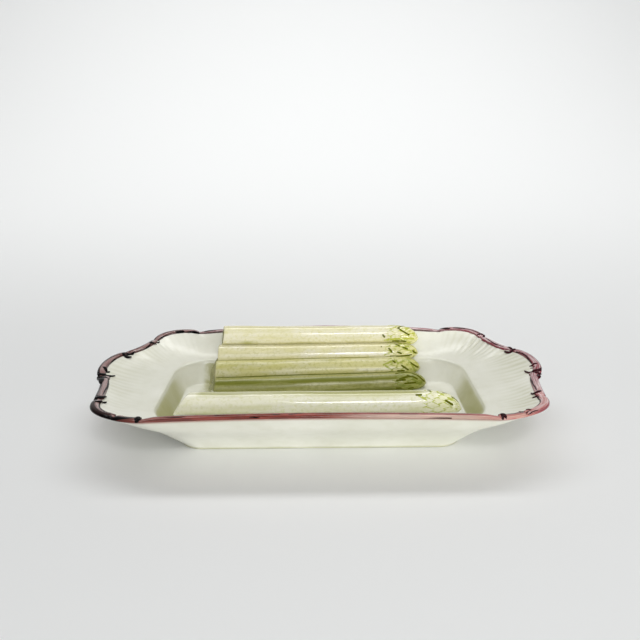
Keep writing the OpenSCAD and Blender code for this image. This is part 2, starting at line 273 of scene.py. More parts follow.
# how fine each noise in the glazes is, in turns per metre, and the brush's run along and round the rim
grain = {
    "cloud": 14.0, "fine": 90.0, "patch": 34.0, "run": 60.0, "swell": 26.0, "speck": 340.0,
    "brokenLine": 170.0, "rimStroke": (48.0, 2.8, 1.0), "slipStreak": (16.0, 60.0, 60.0),
    "spearStreak": (9.0, 75.0, 75.0), "spearCloud": (30.0, 80.0, 80.0),
}
# strength and depth in metres of the small swells in the glaze
swells = {"ivory": (0.12, 0.002), "brushed": (0.1, 0.0015)}

ivoryLook = {
    "body": "#F0F0E4", "greyer": "#E0E0D0", "sage": "#BBBA93", "olive": "#A5A366", "rimPaint": "#9C4C38",
}


def ivoryGlaze():
    glaze = GlazeMaterial("ivoryGlaze", satinGlaze, ivoryLook)
    spot = glaze.place()
    cloud = glaze.spread(glaze.mottle(spot, grain["cloud"]), 0.35, 0.7)
    fine = glaze.spread(glaze.mottle(spot, grain["fine"], detail=5.0), 0.4, 0.75)
    glaze.colour = glaze.blend(glaze.times(cloud, 0.7), "body", "greyer")
    glaze.coat(glaze.times(fine, 0.12), "sage")
    # sage and olive on the well's end walls and round the foot: pooled glaze and painted shade
    poolShade = glaze.attribute("poolShade")
    patches = glaze.mottle(spot, grain["patch"], detail=4.0)
    patchy = glaze.times(glaze.spread(patches, 0.25, 0.75, 0.72, 1.12), poolShade)
    glaze.coat(glaze.spread(patchy, 0.05, 0.9), "sage")
    glaze.coat(glaze.spread(patchy, 0.75, 1.25, 0.0, 0.75), "olive")
    thin = glaze.times(glaze.attribute("valley"), glaze.spread(cloud, 0.0, 1.0, 0.1, 0.5))
    glaze.coat(thin, "sage")
    # olive round the rear spears: glaze run and painted shade
    uneven = glaze.spread(glaze.mottle(spot, grain["run"], distortion=1.5), 0.3, 0.7, 0.6, 1.1)
    run = glaze.times(glaze.attribute("greenRunShade"), uneven)
    glaze.coat(glaze.spread(run, 0.1, 0.9, 0.0, 0.8), "olive")
    glaze.coat(glaze.spread(glaze.attribute("rimPaint"), 0.1, 0.8), "rimPaint")
    height = glaze.plus(glaze.mottle(spot, grain["swell"], detail=2.0), glaze.times(fine, 0.15))
    return glaze.finish(height, *swells["ivory"])


rimLook = {
    "light": "#DFC9C8", "deep": "#A0666C", "brick": "#8E2C10", "deepBrick": "#64230F", "salmon": "#CF8A80",
    # "pale" is the colour of the painted highlight on the front run's lower edge
    "pale": "#E9CDBA", "brown": "#775348", "edge": "#43201D", "rose": "#8E2E3C", "ink": "#060203",
    "crimson": "#7C2433", "wineInk": "#360914",
}
# how far right, left, rear or front each change of tone on the rim begins and is full, in metres
rimBands = {
    "left": (0.06, 0.15), "farLeft": (0.135, 0.17), "right": (-0.005, 0.06), "farRight": (0.105, 0.14),
    "rightEnd": (0.11, 0.16), "front": (0.088, 0.1), "frontHalf": (0.02, 0.07),
    "roseRight": (0.185, 0.196), "roseRear": 0.005, "roseReach": (0.03, 0.012),
}
slipLook = {"pale": "#A6A478", "dark": "#7F8046"}


def rimGlaze():
    glaze = GlazeMaterial("rimGlaze", glossyGlaze, rimLook)
    across = glaze.attribute("acrossRim")
    brush = glaze.node("CombineXYZ", {"X": glaze.attribute("alongRim"), "Y": across}, "Vector")
    stroke = glaze.node("Mapping", {"Vector": brush, "Scale": grain["rimStroke"]}, "Vector")
    streak = glaze.mottle(stroke, 1.0, detail=4.0, roughness=0.6, distortion=0.5)
    glaze.colour = glaze.blend(glaze.spread(streak, 0.34, 0.62), "light", "deep")
    right, rear = (glaze.node("SeparateXYZ", {"Vector": glaze.place()}, axis) for axis in "XY")
    left, front = glaze.times(right, -1.0), glaze.times(rear, -1.0)
    leftward = glaze.spread(left, *rimBands["left"])
    glaze.coat(glaze.times(leftward, 0.7), "brown")
    # the front run: brick red, with a painted highlight of pale pink along its lower edge towards the right
    frontward = glaze.spread(front, *rimBands["front"])
    brick = glaze.blend(glaze.spread(streak, 0.42, 0.62), "brick", "deepBrick")
    bricked = glaze.times(frontward, glaze.spread(leftward, 0.0, 1.0, 0.95, 0.75))
    rightward = glaze.spread(right, *rimBands["right"])
    bricked = glaze.times(bricked, glaze.spread(rightward, 0.0, 1.0, 1.0, 0.8))
    glaze.coat(bricked, brick)
    # painted highlight: pale pink along the lower edge of the front run, towards the right
    lower = glaze.times(glaze.spread(across, 0.4, 0.72), glaze.times(frontward, rightward))
    glaze.coat(glaze.times(lower, 0.85), "pale")
    nearHalf = glaze.spread(front, *rimBands["frontHalf"])
    far = glaze.times(glaze.spread(right, *rimBands["farRight"]), nearHalf)
    far = glaze.times(far, glaze.spread(streak, 0.4, 0.62, 0.25, 0.85))
    glaze.coat(far, "salmon")
    # glaze drawn thin over the crown and dark along both edges of the scrolls
    loose = glaze.times(glaze.less(streak, 0.5), 0.6)
    outer = glaze.plus(across, loose)
    inner = glaze.spread(glaze.less(loose, across), 0.6, 0.92)
    sides = glaze.most(glaze.spread(outer, 0.5, 0.88), inner)
    # the dark glaze is black at the left end and wine red at the right one
    rightEnd = glaze.spread(right, *rimBands["rightEnd"])
    sideTone = glaze.blend(rightEnd, "edge", "crimson")
    inkTone = glaze.blend(rightEnd, "ink", "wineInk")
    glaze.coat(glaze.times(sides, glaze.spread(frontward, 0.0, 1.0, 0.9, 0.35)), sideTone)
    fromRose = glaze.sum("ABSOLUTE", glaze.less(rear, rimBands["roseRear"]), 0.0)
    rose = glaze.spread(fromRose, *rimBands["roseReach"])
    rose = glaze.times(glaze.spread(right, *rimBands["roseRight"]), rose)
    glaze.coat(glaze.times(rose, glaze.spread(streak, 0.4, 0.6, 0.3, 0.8)), "rose")
    farLeft = glaze.spread(left, *rimBands["farLeft"])
    corner = glaze.times(nearHalf, glaze.spread(outer, -0.35, 0.15, 0.0, 0.9))
    heavy = glaze.times(farLeft, glaze.most(glaze.spread(outer, 0.15, 0.5, 0.0, 0.92), corner))
    ink = glaze.attribute("ink")
    dark = glaze.plus(ink, glaze.times(glaze.less(streak, 0.55), 0.55))
    inked = glaze.most(glaze.spread(dark, 0.32, 0.58), heavy)
    flush = glaze.times(rightEnd, glaze.spread(streak, 0.54, 0.68, 0.0, 0.6))
    glaze.coat(flush, "rose")
    glaze.coat(inked, inkTone)
    dulled = glaze.most(inked, glaze.times(frontward, 0.38))
    glaze.dull(dulled, {"Specular IOR Level": (0.5, 0.07), "Coat Weight": (0.35, 0.02)})
    return glaze.finish(streak, *swells["brushed"])


# "dark" is the colour of the glaze lines and painted shade in the bands, "pale" that of the painted
# highlights
spearTones = ("crown", "wash", "cream", "groove", "tip", "edge", "dark", "pale")
accentAndShadeTone = "#5D6204"


def spearGlaze(name, tones, gloss):
    glaze = GlazeMaterial(name, gloss, dict(zip(spearTones, tones), accentAndShade=accentAndShadeTone))
    streak = glaze.mottle(glaze.place(grain["spearStreak"]), 1.0, detail=4.0, distortion=0.4)
    cloud = glaze.mottle(glaze.place(grain["spearCloud"]), 1.0, detail=3.0)
    speck = glaze.mottle(glaze.place(), grain["speck"], detail=3.0)
    glaze.colour = glaze.blend(glaze.spread(streak, 0.35, 0.7), "crown", "wash")
    glaze.coat(glaze.spread(cloud, 0.45, 0.7, 0.0, 0.75), "cream")
    glaze.coat(glaze.spread(speck, 0.45, 0.7, 0.0, 0.55), "wash")
    loose = glaze.times(glaze.less(streak, 0.5), 0.9)
    deep = glaze.plus(glaze.attribute("groove"), loose)
    glaze.coat(glaze.spread(deep, 0.3, 1.0), "groove")
    # the bands: dark for glaze lines and painted shade, pale for painted highlights
    brushed = glaze.attribute("brushed")
    darkLinesAndShade = glaze.times(brushed, glaze.spread(streak, 0.3, 0.6, 0.75, 1.2))
    glaze.coat(glaze.spread(darkLinesAndShade, 0.05, 1.0, 0.0, 0.95), "dark")
    spearHighlight = glaze.times(brushed, glaze.spread(streak, 0.35, 0.65, -1.2, -0.7))
    glaze.coat(glaze.spread(spearHighlight, 0.05, 1.0, 0.0, 0.9), "pale")
    glaze.coat(glaze.spread(speck, 0.48, 0.72, 0.0, 0.24), "groove")
    glaze.coat(glaze.times(glaze.attribute("tip"), 0.6), "tip")
    broken = glaze.mottle(glaze.place(), grain["brokenLine"], detail=2.0)
    line = glaze.times(glaze.attribute("bractEdge"), glaze.spread(broken, 0.35, 0.6, 0.4, 1.1))
    glaze.coat(glaze.spread(line, 0.3, 0.75, 0.0, 0.9), "edge")
    # dark touches on the scales, and a painted shadow line at the top spear's butt
    accentAndShade = glaze.spread(glaze.attribute("accentAndShade"), 0.25, 0.6)
    glaze.coat(accentAndShade, "accentAndShade")
    glaze.dull(accentAndShade, {"Specular IOR Level": (0.5, 0.1), "Coat Weight": (gloss["Coat Weight"], 0.0)})
    return glaze.finish(glaze.plus(streak, cloud), *swells["brushed"])


def slipGlaze():
    glaze = GlazeMaterial("slipGlaze", glossyGlaze, slipLook)
    streak = glaze.mottle(glaze.place(grain["slipStreak"]), 1.0, detail=4.0)
    glaze.colour = glaze.blend(glaze.spread(streak, 0.3, 0.7), "pale", "dark")
    return glaze.finish(streak, *swells["brushed"])


print("stage 1: materials")
ivory = ivoryGlaze()
rimPaint = rimGlaze()
slip = slipGlaze()

# The rim's outline

rimPlan = {
    # from the front run round the right end to the rear run: curve as shares of half the length and
    # width, crest at start, middle and end as shares of the rim's height, and the steps along it
    "scrolls": [
        ("front_link", ((0.674, -1.000), (0.710, -0.975), (0.760, -0.930), (0.795, -0.886)),
         (0.900, 0.864, 0.845), 10),
        ("front_corner_scroll", ((0.795, -0.886), (0.880, -0.810), (0.922, -0.690), (0.918, -0.540)),
         (0.845, 0.841, 0.819), 14),
        ("knob_scroll", ((0.918, -0.540), (0.935, -0.360), (0.945, -0.120), (0.988, -0.018)),
         (0.819, 0.793, 0.784), 16),
        ("end_scroll", ((0.988, -0.018), (1.030, 0.110), (1.010, 0.400), (0.950, 0.510)),
         (0.784, 0.828, 0.814), 14),
        ("rear_link", ((0.950, 0.510), (0.892, 0.565), (0.865, 0.740), (0.848, 0.836)),
         (0.814, 0.828, 0.828), 12),
        ("rear_corner_scroll", ((0.848, 0.836), (0.828, 1.010), (0.684, 1.020), (0.620, 0.971)),
         (0.828, 0.903, 0.893), 14),
    ],
    "frontRun": {"side": (-1.000, -0.992), "crest": (0.900, 0.938)},
    "rearRun": {"side": (0.971, 0.965), "crest": (0.893, 0.982)},
    "runSteps": 14, "finer": 4, "soften": 11,
    "height": 58, "beadWidth": 7.2, "beadHeight": 2.5,
    # the moulding's width and height at a joint and at the steps away from it, on scrolls and on the runs
    "widthShares": (0.85, 1.20, 1.18, 1.12), "heightShares": (0.42, 0.88, 1.00, 1.00),
    "runWidths": (0.85, 1.0, 1.0), "runHeights": (0.42, 0.9, 1.0),
    "knob": 0.25, "knobSpread": 2,
    # broad flutes with finer ones on them: number, share of the depth, and how they stray and fade
    "flutes": 27, "fineFlutes": 38, "broadShare": 0.25, "fineShare": 0.6, "fineSharpness": 1.6,
    "stray": 0.3, "strayTurns": 30, "fluteDepth": 0.9, "fluteFadeSteps": 6,
}
dishLow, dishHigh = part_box("dish")
halfLength = (dishHigh.x - dishLow.x) / 2
halfWidth = (dishHigh.y - dishLow.y) / 2


def traceEnd():
    # stations round the right end, front to rear: shares of the plan and what rides on them
    finer, scrolls = rimPlan["finer"], rimPlan["scrolls"]
    stations = []
    names = [scroll[0] for scroll in scrolls]
    knobAt = sum(scroll[3] for scroll in scrolls[:names.index("knob_scroll") + 1]) - 1
    done = 0
    for name, curve, crest, steps in scrolls:
        for k in range(steps * finer + (name == names[-1])):
            t = k / (steps * finer)
            fromJoint = min(k, steps * finer - k) / finer
            bump = max(0, 1 - abs(done + k / finer - knobAt) / rimPlan["knobSpread"])
            stations.append({
                "plan": bezierPoint(curve, t),
                "crest": throughMiddle(*crest, t),
                "width": shareAt(rimPlan["widthShares"], fromJoint) + rimPlan["knob"] * bump,
                "height": shareAt(rimPlan["heightShares"], fromJoint),
            })
        done += steps
    travelled = [0.0]
    for a, b in zip(stations, stations[1:]):
        step = b["plan"] - a["plan"]
        travelled.append(travelled[-1] + math.hypot(step.x * halfLength, step.y * halfWidth))
    fade = rimPlan["fluteFadeSteps"] * finer
    for k, station in enumerate(stations):
        share = travelled[k] / travelled[-1]
        stray = rimPlan["stray"] * noise.noise(Vector((share * rimPlan["strayTurns"], 0.3, 0.7)))
        turn = 2 * math.pi * (rimPlan["fineFlutes"] * share + stray)
        valley = (0.5 + 0.5 * math.cos(turn)) ** rimPlan["fineSharpness"]
        wave = rimPlan["broadShare"] * (1 - math.cos(2 * math.pi * rimPlan["flutes"] * share))
        wave += rimPlan["fineShare"] * valley
        fadeOut = min(1, k / fade, (len(stations) - 1 - k) / fade)
        station["flute"], station["valley"] = wave * fadeOut, valley * fadeOut
    return stations


def traceRun(run, fromX, toX):
    # stations between two joints along the front or the rear, without flutes
    total = rimPlan["runSteps"] * rimPlan["finer"]
    stations = []
    for k in range(1, total):
        side, crest = (throughMiddle(ends, middle, ends, k / total) for ends, middle in run.values())
        fromJoint = 2 * min(k, total - k) / rimPlan["finer"]
        stations.append({
            "plan": Vector((between(fromX, toX, k / total), side)),
            "crest": crest,
            "width": shareAt(rimPlan["runWidths"], fromJoint),
            "height": shareAt(rimPlan["runHeights"], fromJoint),
            "flute": 0.0, "valley": 0.0,
        })
    return stations


def mirrored(station):
    return dict(station, plan=Vector((-station["plan"].x, station["plan"].y)))


rightEnd = traceEnd()
rearX = rightEnd[-1]["plan"].x
frontX = rightEnd[0]["plan"].x
stations = rightEnd + traceRun(rimPlan["rearRun"], rearX, -rearX)
stations += [mirrored(s) for s in reversed(rightEnd)]
stations += traceRun(rimPlan["frontRun"], -frontX, frontX)
xReach = max(s["plan"].x for s in stations)
ys = [s["plan"].y for s in stations]
for station in stations:
    plan = station["plan"]
    upward = 2 * (plan.y - min(ys)) / (max(ys) - min(ys)) - 1
    station["rim"] = Vector((halfLength * plan.x / xReach, halfWidth * upward))
    station["top"] = rimPlan["height"] * mm * station["crest"]
for number, station in enumerate(stations):
    # the same outline without its joints, for the inner part of the flange
    reach = range(number - rimPlan["soften"], number + rimPlan["soften"] + 1)
    near = [stations[k % len(stations)] for k in reach]
    station["softRim"] = sum((s["rim"] for s in near), Vector((0, 0))) / len(near)
    station["softTop"] = sum(s["top"] for s in near) / len(near)

# The dish

dishPlan = {
    "wellLength": 286, "wellWidth": 144, "wellCorner": 34, "wellEdge": 31,
    "floorLength": 264, "floorWidth": 110, "floorCorner": 14, "floorHeight": 12,
    "wellForward": 2, "flangeThickness": 6.5,
    "footLength": 244, "footWidth": 119, "footCorner": 21, "footEdge": 1.5,
    "footRing": 8, "footRecess": 3.5,
    # how far each inner ring of the floor lies in from its edge
    "floorRings": [52, 44, 24, 8],
    # share of the way out and of the rise
    "wall": [(0.0, 0.0), (0.12, 0.08), (0.5, 0.47), (0.90, 0.86)],
    "flange": [(0.0, 0.0), (0.14, 0.08), (0.33, 0.20), (0.67, 0.54), (0.91, 0.88), (1.0, 1.0)],
    "underWall": [(1.40, 0.81), (-0.75, 0.42)],
    "underFlange": 0.66, "edgeDrop": 0.35, "edgeInset": 0.85,
    # into how many pieces each gap between these rings is cut, above and below
    "topSpans": [1, 1, 2, 2, 3, 4, 4, 3, 3, 3, 5, 4, 3],
    "underSpans": [3, 4, 4, 4, 4],
    # from this share of the flange outwards its rings follow the joints of the rim
    "jointsFrom": 0.82,
    "underSoften": 6,
    # where on the flange the flutes and the glaze in their valleys begin and end
    "flutesFrom": (0.3, 0.8), "valleysFrom": (0.35, 0.85), "valleysTo": (1.0, 0.92),
    # how uneven the flutes are, and how much fainter at the left end
    "evenness": 0.45, "leastDepth": 0.1, "unevenTurns": 22, "leftFlutes": 0.5, "leftValleys": 0.55,
    "wobble": 0.2, "wobbleTurns": 28.0, "wobbleFrom": (0.0, 0.3), "wobbleTo": (1.0, 0.85),
    # the pooled glaze and painted shade lie between these rings, counted from the end of the floor and of
    # the wall
    "poolShadeFrom": (-1, 3), "poolShadeTo": (1.2, -1.8),
    # rim paint on the first rings below the edge, and pooled glaze with painted shade round the foot
    "edgePaint": (1.0, 1.0, 0.9, 0.45, 0.0),
    "footPoolShade": 0.75, "footPoolShadeHeight": (2.4, 0.7),
}


def onRing(point, ring, grow=0.0):
    # nearest point to the given one on the edge of the well, the floor or the foot, grown by millimetres
    length, width, corner = (dishPlan[ring + part] for part in ("Length", "Width", "Corner"))
    bend = max(2, corner + grow)
    reach = [(side / 2 + grow - bend) * mm for side in (length, width)]
    forward = Vector((0, dishPlan["wellForward"] * mm))
    centre = Vector([clampTo(value, -far, far) for value, far in zip(point + forward, reach)])
    return centre + (point + forward - centre).normalized() * bend * mm - forward


def inwardAt(rim):
    return (onRing(rim, "well") - rim).normalized()


def lifted(point, height):
    return Vector((point.x, point.y, height))


def dishSection(station):
    # places from the middle of the floor up to the rim, and from there to the recess under the foot
    plan = dishPlan
    rim, softRim, inward = station["rim"], station["softRim"], inwardAt(station["rim"])
    floor, edge, thick = (plan[key] * mm for key in ("floorHeight", "wellEdge", "flangeThickness"))
    bead = rimPlan["beadHeight"] * mm
    ledge = station["top"] - bead
    ledgeIn = rim + inward * rimPlan["beadWidth"] * mm * station["width"]
    softIn = softRim + inwardAt(softRim) * rimPlan["beadWidth"] * mm
    wellEdge, floorEdge = onRing(rim, "well"), onRing(rim, "floor")

    top = [lifted(onRing(rim, "floor", -inset), floor) for inset in plan["floorRings"]]
    for out, rise in plan["wall"]:
        top.append(lifted(between(floorEdge, wellEdge, out), between(floor, edge, rise)))
    for out, rise in plan["flange"]:
        near = easeStep(plan["jointsFrom"], 1.0, out)
        flangeEdge = between(softIn, ledgeIn, near)
        flangeTop = between(station["softTop"] - bead, ledge, near)
        top.append(lifted(between(wellEdge, flangeEdge, out), between(edge, flangeTop, rise)))
    top = smoothLine(top, plan["topSpans"])

    def foot(inset, height):
        return lifted(onRing(rim, "foot", -inset), height * mm)

    under = [lifted(rim, ledge),
             lifted(rim + inward * thick * plan["edgeInset"], ledge - thick * plan["edgeDrop"])]
    wall = [lifted(onRing(rim, "well", plan["flangeThickness"] * out), edge * rise)
            for out, rise in plan["underWall"]]
    under.append(lifted((under[1] + wall[0]) / 2, between(ledge, edge - thick, plan["underFlange"])))
    under = smoothLine(under + wall + [foot(0, plan["footEdge"])], plan["underSpans"])
    for _ in range(plan["underSoften"]):
        # evens out the bends of the outside wall between its fixed ends
        for k in range(plan["underSpans"][0], len(under) - 1):
            under[k] = under[k] * 0.5 + (under[k - 1] + under[k + 1]) * 0.25
    soft, ring, recess = plan["footEdge"] / 3, plan["footRing"], plan["footRecess"]
    under += [foot(0, soft), foot(soft, 0), foot(ring - soft, 0), foot(ring, soft),
              foot(ring, recess - soft), foot(ring + soft, recess)]
    return top, under


def buildDish():
    # the flutes and the glaze in their valleys are fainter at the left end
    bm = bmesh.new()
    tops, unders = [], []
    # the rings at which the floor and the wall end
    toWall = len(dishPlan["floorRings"])
    floorRings = sum(dishPlan["topSpans"][:toWall])
    wallRings = sum(dishPlan["topSpans"][:toWall + len(dishPlan["wall"]) - 1])
    for station in stations:
        top, under = dishSection(station)
        count = len(top) - 1
        for k, place in enumerate(top):
            flange = max(0, (k - wallRings) / (count - wallRings))
            fluted = station["flute"] * easeStep(*dishPlan["flutesFrom"], flange)
            spot = station["rim"] * dishPlan["unevenTurns"]
            uneven = dishPlan["evenness"] + noise.noise(lifted(spot, 0.5))
            if station["rim"].x < 0:
                uneven *= dishPlan["leftFlutes"]
            place.z -= rimPlan["fluteDepth"] * mm * fluted * max(dishPlan["leastDepth"], uneven)
            wobble = noise.noise(place * dishPlan["wobbleTurns"])
            for span in (dishPlan["wobbleFrom"], dishPlan["wobbleTo"]):
                wobble *= easeStep(*span, k / count)
            place.z += dishPlan["wobble"] * mm * wobble
        tops.append(top)
        unders.append(under)
    # the pool layer carries pooled glaze with painted shade on the well's end walls and along the foot's
    # edge
    poolShade, valley, paint, run = newLayers(bm, "poolShade", "valley", "rimPaint", "greenRunShade")
    topCount = len(tops[0])
    for k, ring in enumerate(loftRings(bm, list(zip(*tops)) + list(zip(*unders)))):
        flange = (k - wallRings) / (topCount - 1 - wallRings)
        fluted = 0.0
        if k < topCount:
            fluted = easeStep(*dishPlan["valleysFrom"], flange) * easeStep(*dishPlan["valleysTo"], flange)
        for vert, station in zip(ring, stations):
            vert[valley] = fluted * station["valley"]
            if station["rim"].x < 0:
                vert[valley] *= dishPlan["leftValleys"]
            if k >= topCount:
                vert[poolShade] = dishPlan["footPoolShade"] * easeStep(*dishPlan["footPoolShadeHeight"], vert.co.z / mm)
                vert[paint] = dishPlan["edgePaint"][min(len(dishPlan["edgePaint"]) - 1, k - topCount)]
            else:
                up = easeStep(*dishPlan["poolShadeFrom"], k - floorRings)
                down = easeStep(*dishPlan["poolShadeTo"], k - wallRings)
                vert[poolShade] = up * down * poolShadeShare(vert.co)
                vert[run] = greenRunShadeAt(vert.co) if k <= wallRings else 0.0
    return bm


greenRunShades = {
    # green glaze that has run on to the floor round the rear spears, together with painted shade there,
    # weaker to the right and at the rear
    "left": -110, "right": 100, "front": 26, "reach": 12,
    "strongest": (-40, -110), "palest": 0.35, "rear": (95, 70),
    # and glaze pooled at the ends of the well, with painted shade, away from its rear
    "poolShadeEnds": (98, 126), "poolShadeRear": (62, 2),
}


def greenRunShadeAt(place):
    x, y = place.x / mm, place.y / mm
    outside = max(greenRunShades["left"] - x, x - greenRunShades["right"], greenRunShades["front"] - y)
    depth = between(greenRunShades["palest"], 1, easeStep(*greenRunShades["strongest"], x))
    return easeStep(greenRunShades["reach"], 0, outside) * depth * easeStep(*greenRunShades["rear"], y)


def poolShadeShare(place):
    x, y = abs(place.x) / mm, place.y / mm
    return easeStep(*greenRunShades["poolShadeEnds"], x) * easeStep(*greenRunShades["poolShadeRear"], y)


print("stage 2: dish")
dishMesh = buildDish()
dishTree = BVHTree.FromBMesh(dishMesh)
finishPiece("dishBody", dishMesh, "dish", ivory)

# The rim's mouldings

# Raised scroll ends, by the node that carries them: widest half width, height, and x and y along the path
rimCurls = {
    "rear_corner_scroll_right": [(1.7, 1.8, 175.5, 94.5, 172.6, 95, 166.2, 93)],
    "rear_link_right": [(1.8, 2.1, 188.9, 58.5, 192.2, 55.7, 194.2, 52.2)],
    "end_scroll_right": [
        (2.2, 2.1, 194.5, 50.8, 191.7, 50.7, 187.2, 51.1, 184.6, 54.4),
        (1.5, 1.7, 203.5, 12.2, 200.5, 12.6, 196.8, 13.4), (0.7, 0.9, 200, 7.2, 198.7, 7.9, 196.7, 9.8),
        (1.8, 2, 205.4, 5.8, 201.7, 1.2, 197.4, 0.4, 193.2, 1.2, 190.4, 6.6),
    ],
    "knob_scroll_right": [
        (2, 2.1, 195.4, -6.2, 199.5, -5.2, 204.2, -4), (2.2, 2, 202.5, -6.5, 202.9, -12, 200.2, -17),
        (1.9, 1.8, 187.5, -49.5, 182.4, -52.1, 180, -46.8),
    ],
    "front_corner_scroll_right": [
        (1.6, 1.6, 185, -58, 181.4, -56.4, 177.9, -56.2), (1, 1.2, 166, -91, 163, -89.5, 157.5, -87),
    ],
    "front_link_right": [(2.1, 1.7, 141, -108.9, 140.2, -104.8, 138.8, -101.3)],
    "rear_corner_scroll_left": [(1.9, 1.9, -174.3, 92, -174.3, 89.8, -170.6, 84.3, -166.8, 88.6)],
    "rear_link_left": [
        (1.7, 1.7, -175, 77.8, -173.2, 78.5, -168.4, 81.6),
        (2.3, 2.2, -195, 48.8, -193.3, 49.4, -190.5, 51.6, -184.3, 56.5),
    ],
    "end_scroll_left": [
        (2.2, 2.1, -194.5, 48.6, -192.4, 48.1, -189, 46.7, -185.1, 47.4),
        (1.9, 1.9, -202.6, 13.4, -200.4, 12.1, -198.2, 7.8, -195.4, 9.8),
        (2.1, 2.1, -204.6, 2, -199.6, 0.1, -195.3, 0.6, -189.4, 4.8),
    ],
    "knob_scroll_left": [
        (3.1, 2.6, -203.6, -1.3, -200.5, -6.8, -196.4, -12.2, -193.7, -21.9),
        (2, 2, -188.4, -55.8, -185.4, -55.8, -182.2, -54.6, -181.6, -47.6),
    ],
    "front_corner_scroll_left": [(1.6, 1.7, -184.4, -66.8, -182.1, -66.2, -180, -62.3, -176.9, -60.1)],
    "front_link_left": [(1.9, 1.5, -138, -108.6, -138.7, -104.8, -140.6, -101.6)],
}

# Strokes of dark glaze on the mouldings: half width, and x and y along the path
inkStrokes = [
    (2.3, -100, 106, -111, 104.7, -121, 103.2), (1.5, -152, 102.8, -144, 103.5),
    (1.8, -139, 102.2, -127.5, 101), (0.6, -168.5, 89.5, -164.6, 94.5, -158.9, 98.5, -150.6, 100.5),
    (0.55, -174, 92, -169.8, 97, -162.1, 101.5, -152.2, 105, -137.3, 105.8),
    (0.65, -172.5, 78, -174.5, 69, -178, 61, -182.5, 56, -188, 53.5),
    (0.5, -176, 78.4, -180, 68.9, -184.5, 60.4, -190, 55.5), (1.6, -185.5, 55, -190.5, 52.5, -195, 50.5),
    (1.3, -174.5, 92, -173.8, 85, -174.2, 79), (0.7, -194, 42, -197.5, 34, -198.5, 25.7, -197.5, 15),
    (0.85, -195.5, 47, -201.3, 37, -205, 25, -206.5, 13, -205.5, 3),
    (3.2, -205, 4, -203.5, -6, -198, -14, -194, -23), (2.2, -201, -5, -192.5, -9),
    (0.65, -191, -9, -189.6, -14, -186.3, -26.2, -184.8, -39.9, -183.4, -49.6),
    (1.5, -194.8, -22, -193.2, -34.3, -191.3, -46.9, -188.7, -57), (3, -190.5, -49, -187, -61),
    (1.2, -187.5, -54, -180, -52.5),
    (1.7, -186.5, -63, -187, -73.2, -185, -81, -180.6, -87.5, -174.8, -92.2, -167, -96.5),
    (0.6, -180.5, -65, -177.6, -76.8, -171.7, -85.8, -166.7, -90, -160, -92.6),
    (2.2, -174, -92, -162, -97, -151, -101, -141, -103.2), (2.5, -139.4, -101, -138.6, -109.4),
    (1.5, -138.5, -103, -131, -103.7, -120.5, -104.2), (0.8, -121, -104.4, -104, -105.2),
    (0.5, -119, -107.6, -101, -107.4), (1.1, 102, 106.5, 108.3, 106.2, 115.9, 106),
    (1.2, 118, 106, 124, 105.2), (1.8, 126, 104.4, 138.5, 104.2),
    (1.3, 143, 105.2, 150.4, 104.7, 157, 103.4),
    (0.9, 155.7, 103.8, 160.6, 101.6, 165.1, 98.6, 170.4, 94.2), (0.9, 171.5, 91, 174.2, 93.5),
    (0.85, 172.9, 83.6, 174.6, 76.9, 177, 69, 180, 63.5, 185, 58.2),
    (0.4, 176.4, 85, 179, 78, 182, 70, 186.2, 63.4), (1.2, 188.5, 58.2, 192.2, 55.5, 194.2, 52),
    (1.4, 195, 50.5, 190.5, 50), (0.6, 193.5, 46.3, 196.8, 40.6, 199, 33.1, 199.6, 24.7, 199.8, 16),
    (0.55, 195.4, 49.7, 201.7, 42, 204.8, 31, 206.4, 18.9, 206.3, 9, 205.2, 2.3),
    (1.1, 197, 0.4, 201.7, 0.4, 205.8, 5), (1, 195, -5.7, 202.8, -3.6),
    (1, 201.8, -7.5, 202.4, -13, 199, -20),
    (0.65, 193, -5.5, 190, -9, 188.2, -18.3, 186, -31.6, 184.8, -43, 184, -49),
    (1.1, 180.6, -60.6, 180.6, -63.6), (0.9, 194.6, -29, 192.8, -42, 190.2, -52, 188.2, -59),
    (0.55, 180.2, -64, 179.8, -70, 175.4, -79.5, 169.4, -85.8, 162, -89.6),
    (0.6, 187.2, -65, 186.8, -76, 182.7, -84.8, 176, -91.2), (0.5, 159.5, -97.8, 163.8, -95.4, 171.2, -91),
    (0.9, 131, -103.2, 139.7, -102.2, 147, -100.3, 155, -96.9, 164.3, -92.7),
    (1.6, 137, -102.4, 147.5, -100.4), (1.2, 139.7, -101.5, 138.6, -109.8),
    (0.5, -81, -106.9, -74, -106.3, -66, -106.4), (0.4, -66, -106.6, -55, -106.2),
    (0.35, -53, -108.6, -46, -108.8), (0.4, -36.5, -106.4, -31, -106.9), (0.5, -24, -107, -13, -104.9),
    (0.4, 43.2, -105.4, 44.2, -107), (0.35, 60, -107.1, 74, -107),
    (0.3, 20, -109.6, 60, -109.7, 100, -109.6),
]
inkForm = {"finer": 4, "reach": 1.4, "ends": 0.55, "outer": 1.3, "inner": 0.7}


def strokeTable():
    # smoothed paths with their reach, so that far strokes are passed over quickly
    table = []
    for width, *path in inkStrokes:
        points = [Vector(pair) for pair in inPairs(path)]
        line = smoothLine(points, [inkForm["finer"]] * (len(points) - 1))
        reach = width * inkForm["reach"]
        box = (min(p.x for p in line) - reach, max(p.x for p in line) + reach,
               min(p.y for p in line) - reach, max(p.y for p in line) + reach)
        table.append((line, width, box))
    return table


def inkAt(table, x, y):
    # how dark the strokes are at a place: each is narrower at its ends and soft at its edges
    darkest = 0.0
    for line, width, box in table:
        if not (box[0] < x < box[1] and box[2] < y < box[3]):
            continue
        pieces = len(line) - 1
        for k in range(pieces):
            share, gap = onLine(Vector((x, y)), line[k], line[k + 1])
            swell = width * between(inkForm["ends"], 1, math.sin(math.pi * (k + share) / pieces))
            darkest = max(darkest, easeStep(swell * inkForm["outer"], swell * inkForm["inner"], gap))
    return darkest


# rings over and under the moulding, how far it is sunk, and the steps between its stations
beadForm = {"over": 18, "under": 3, "sunk": 0.7, "finer": 3, "fullness": 0.8, "underReach": 0.9}


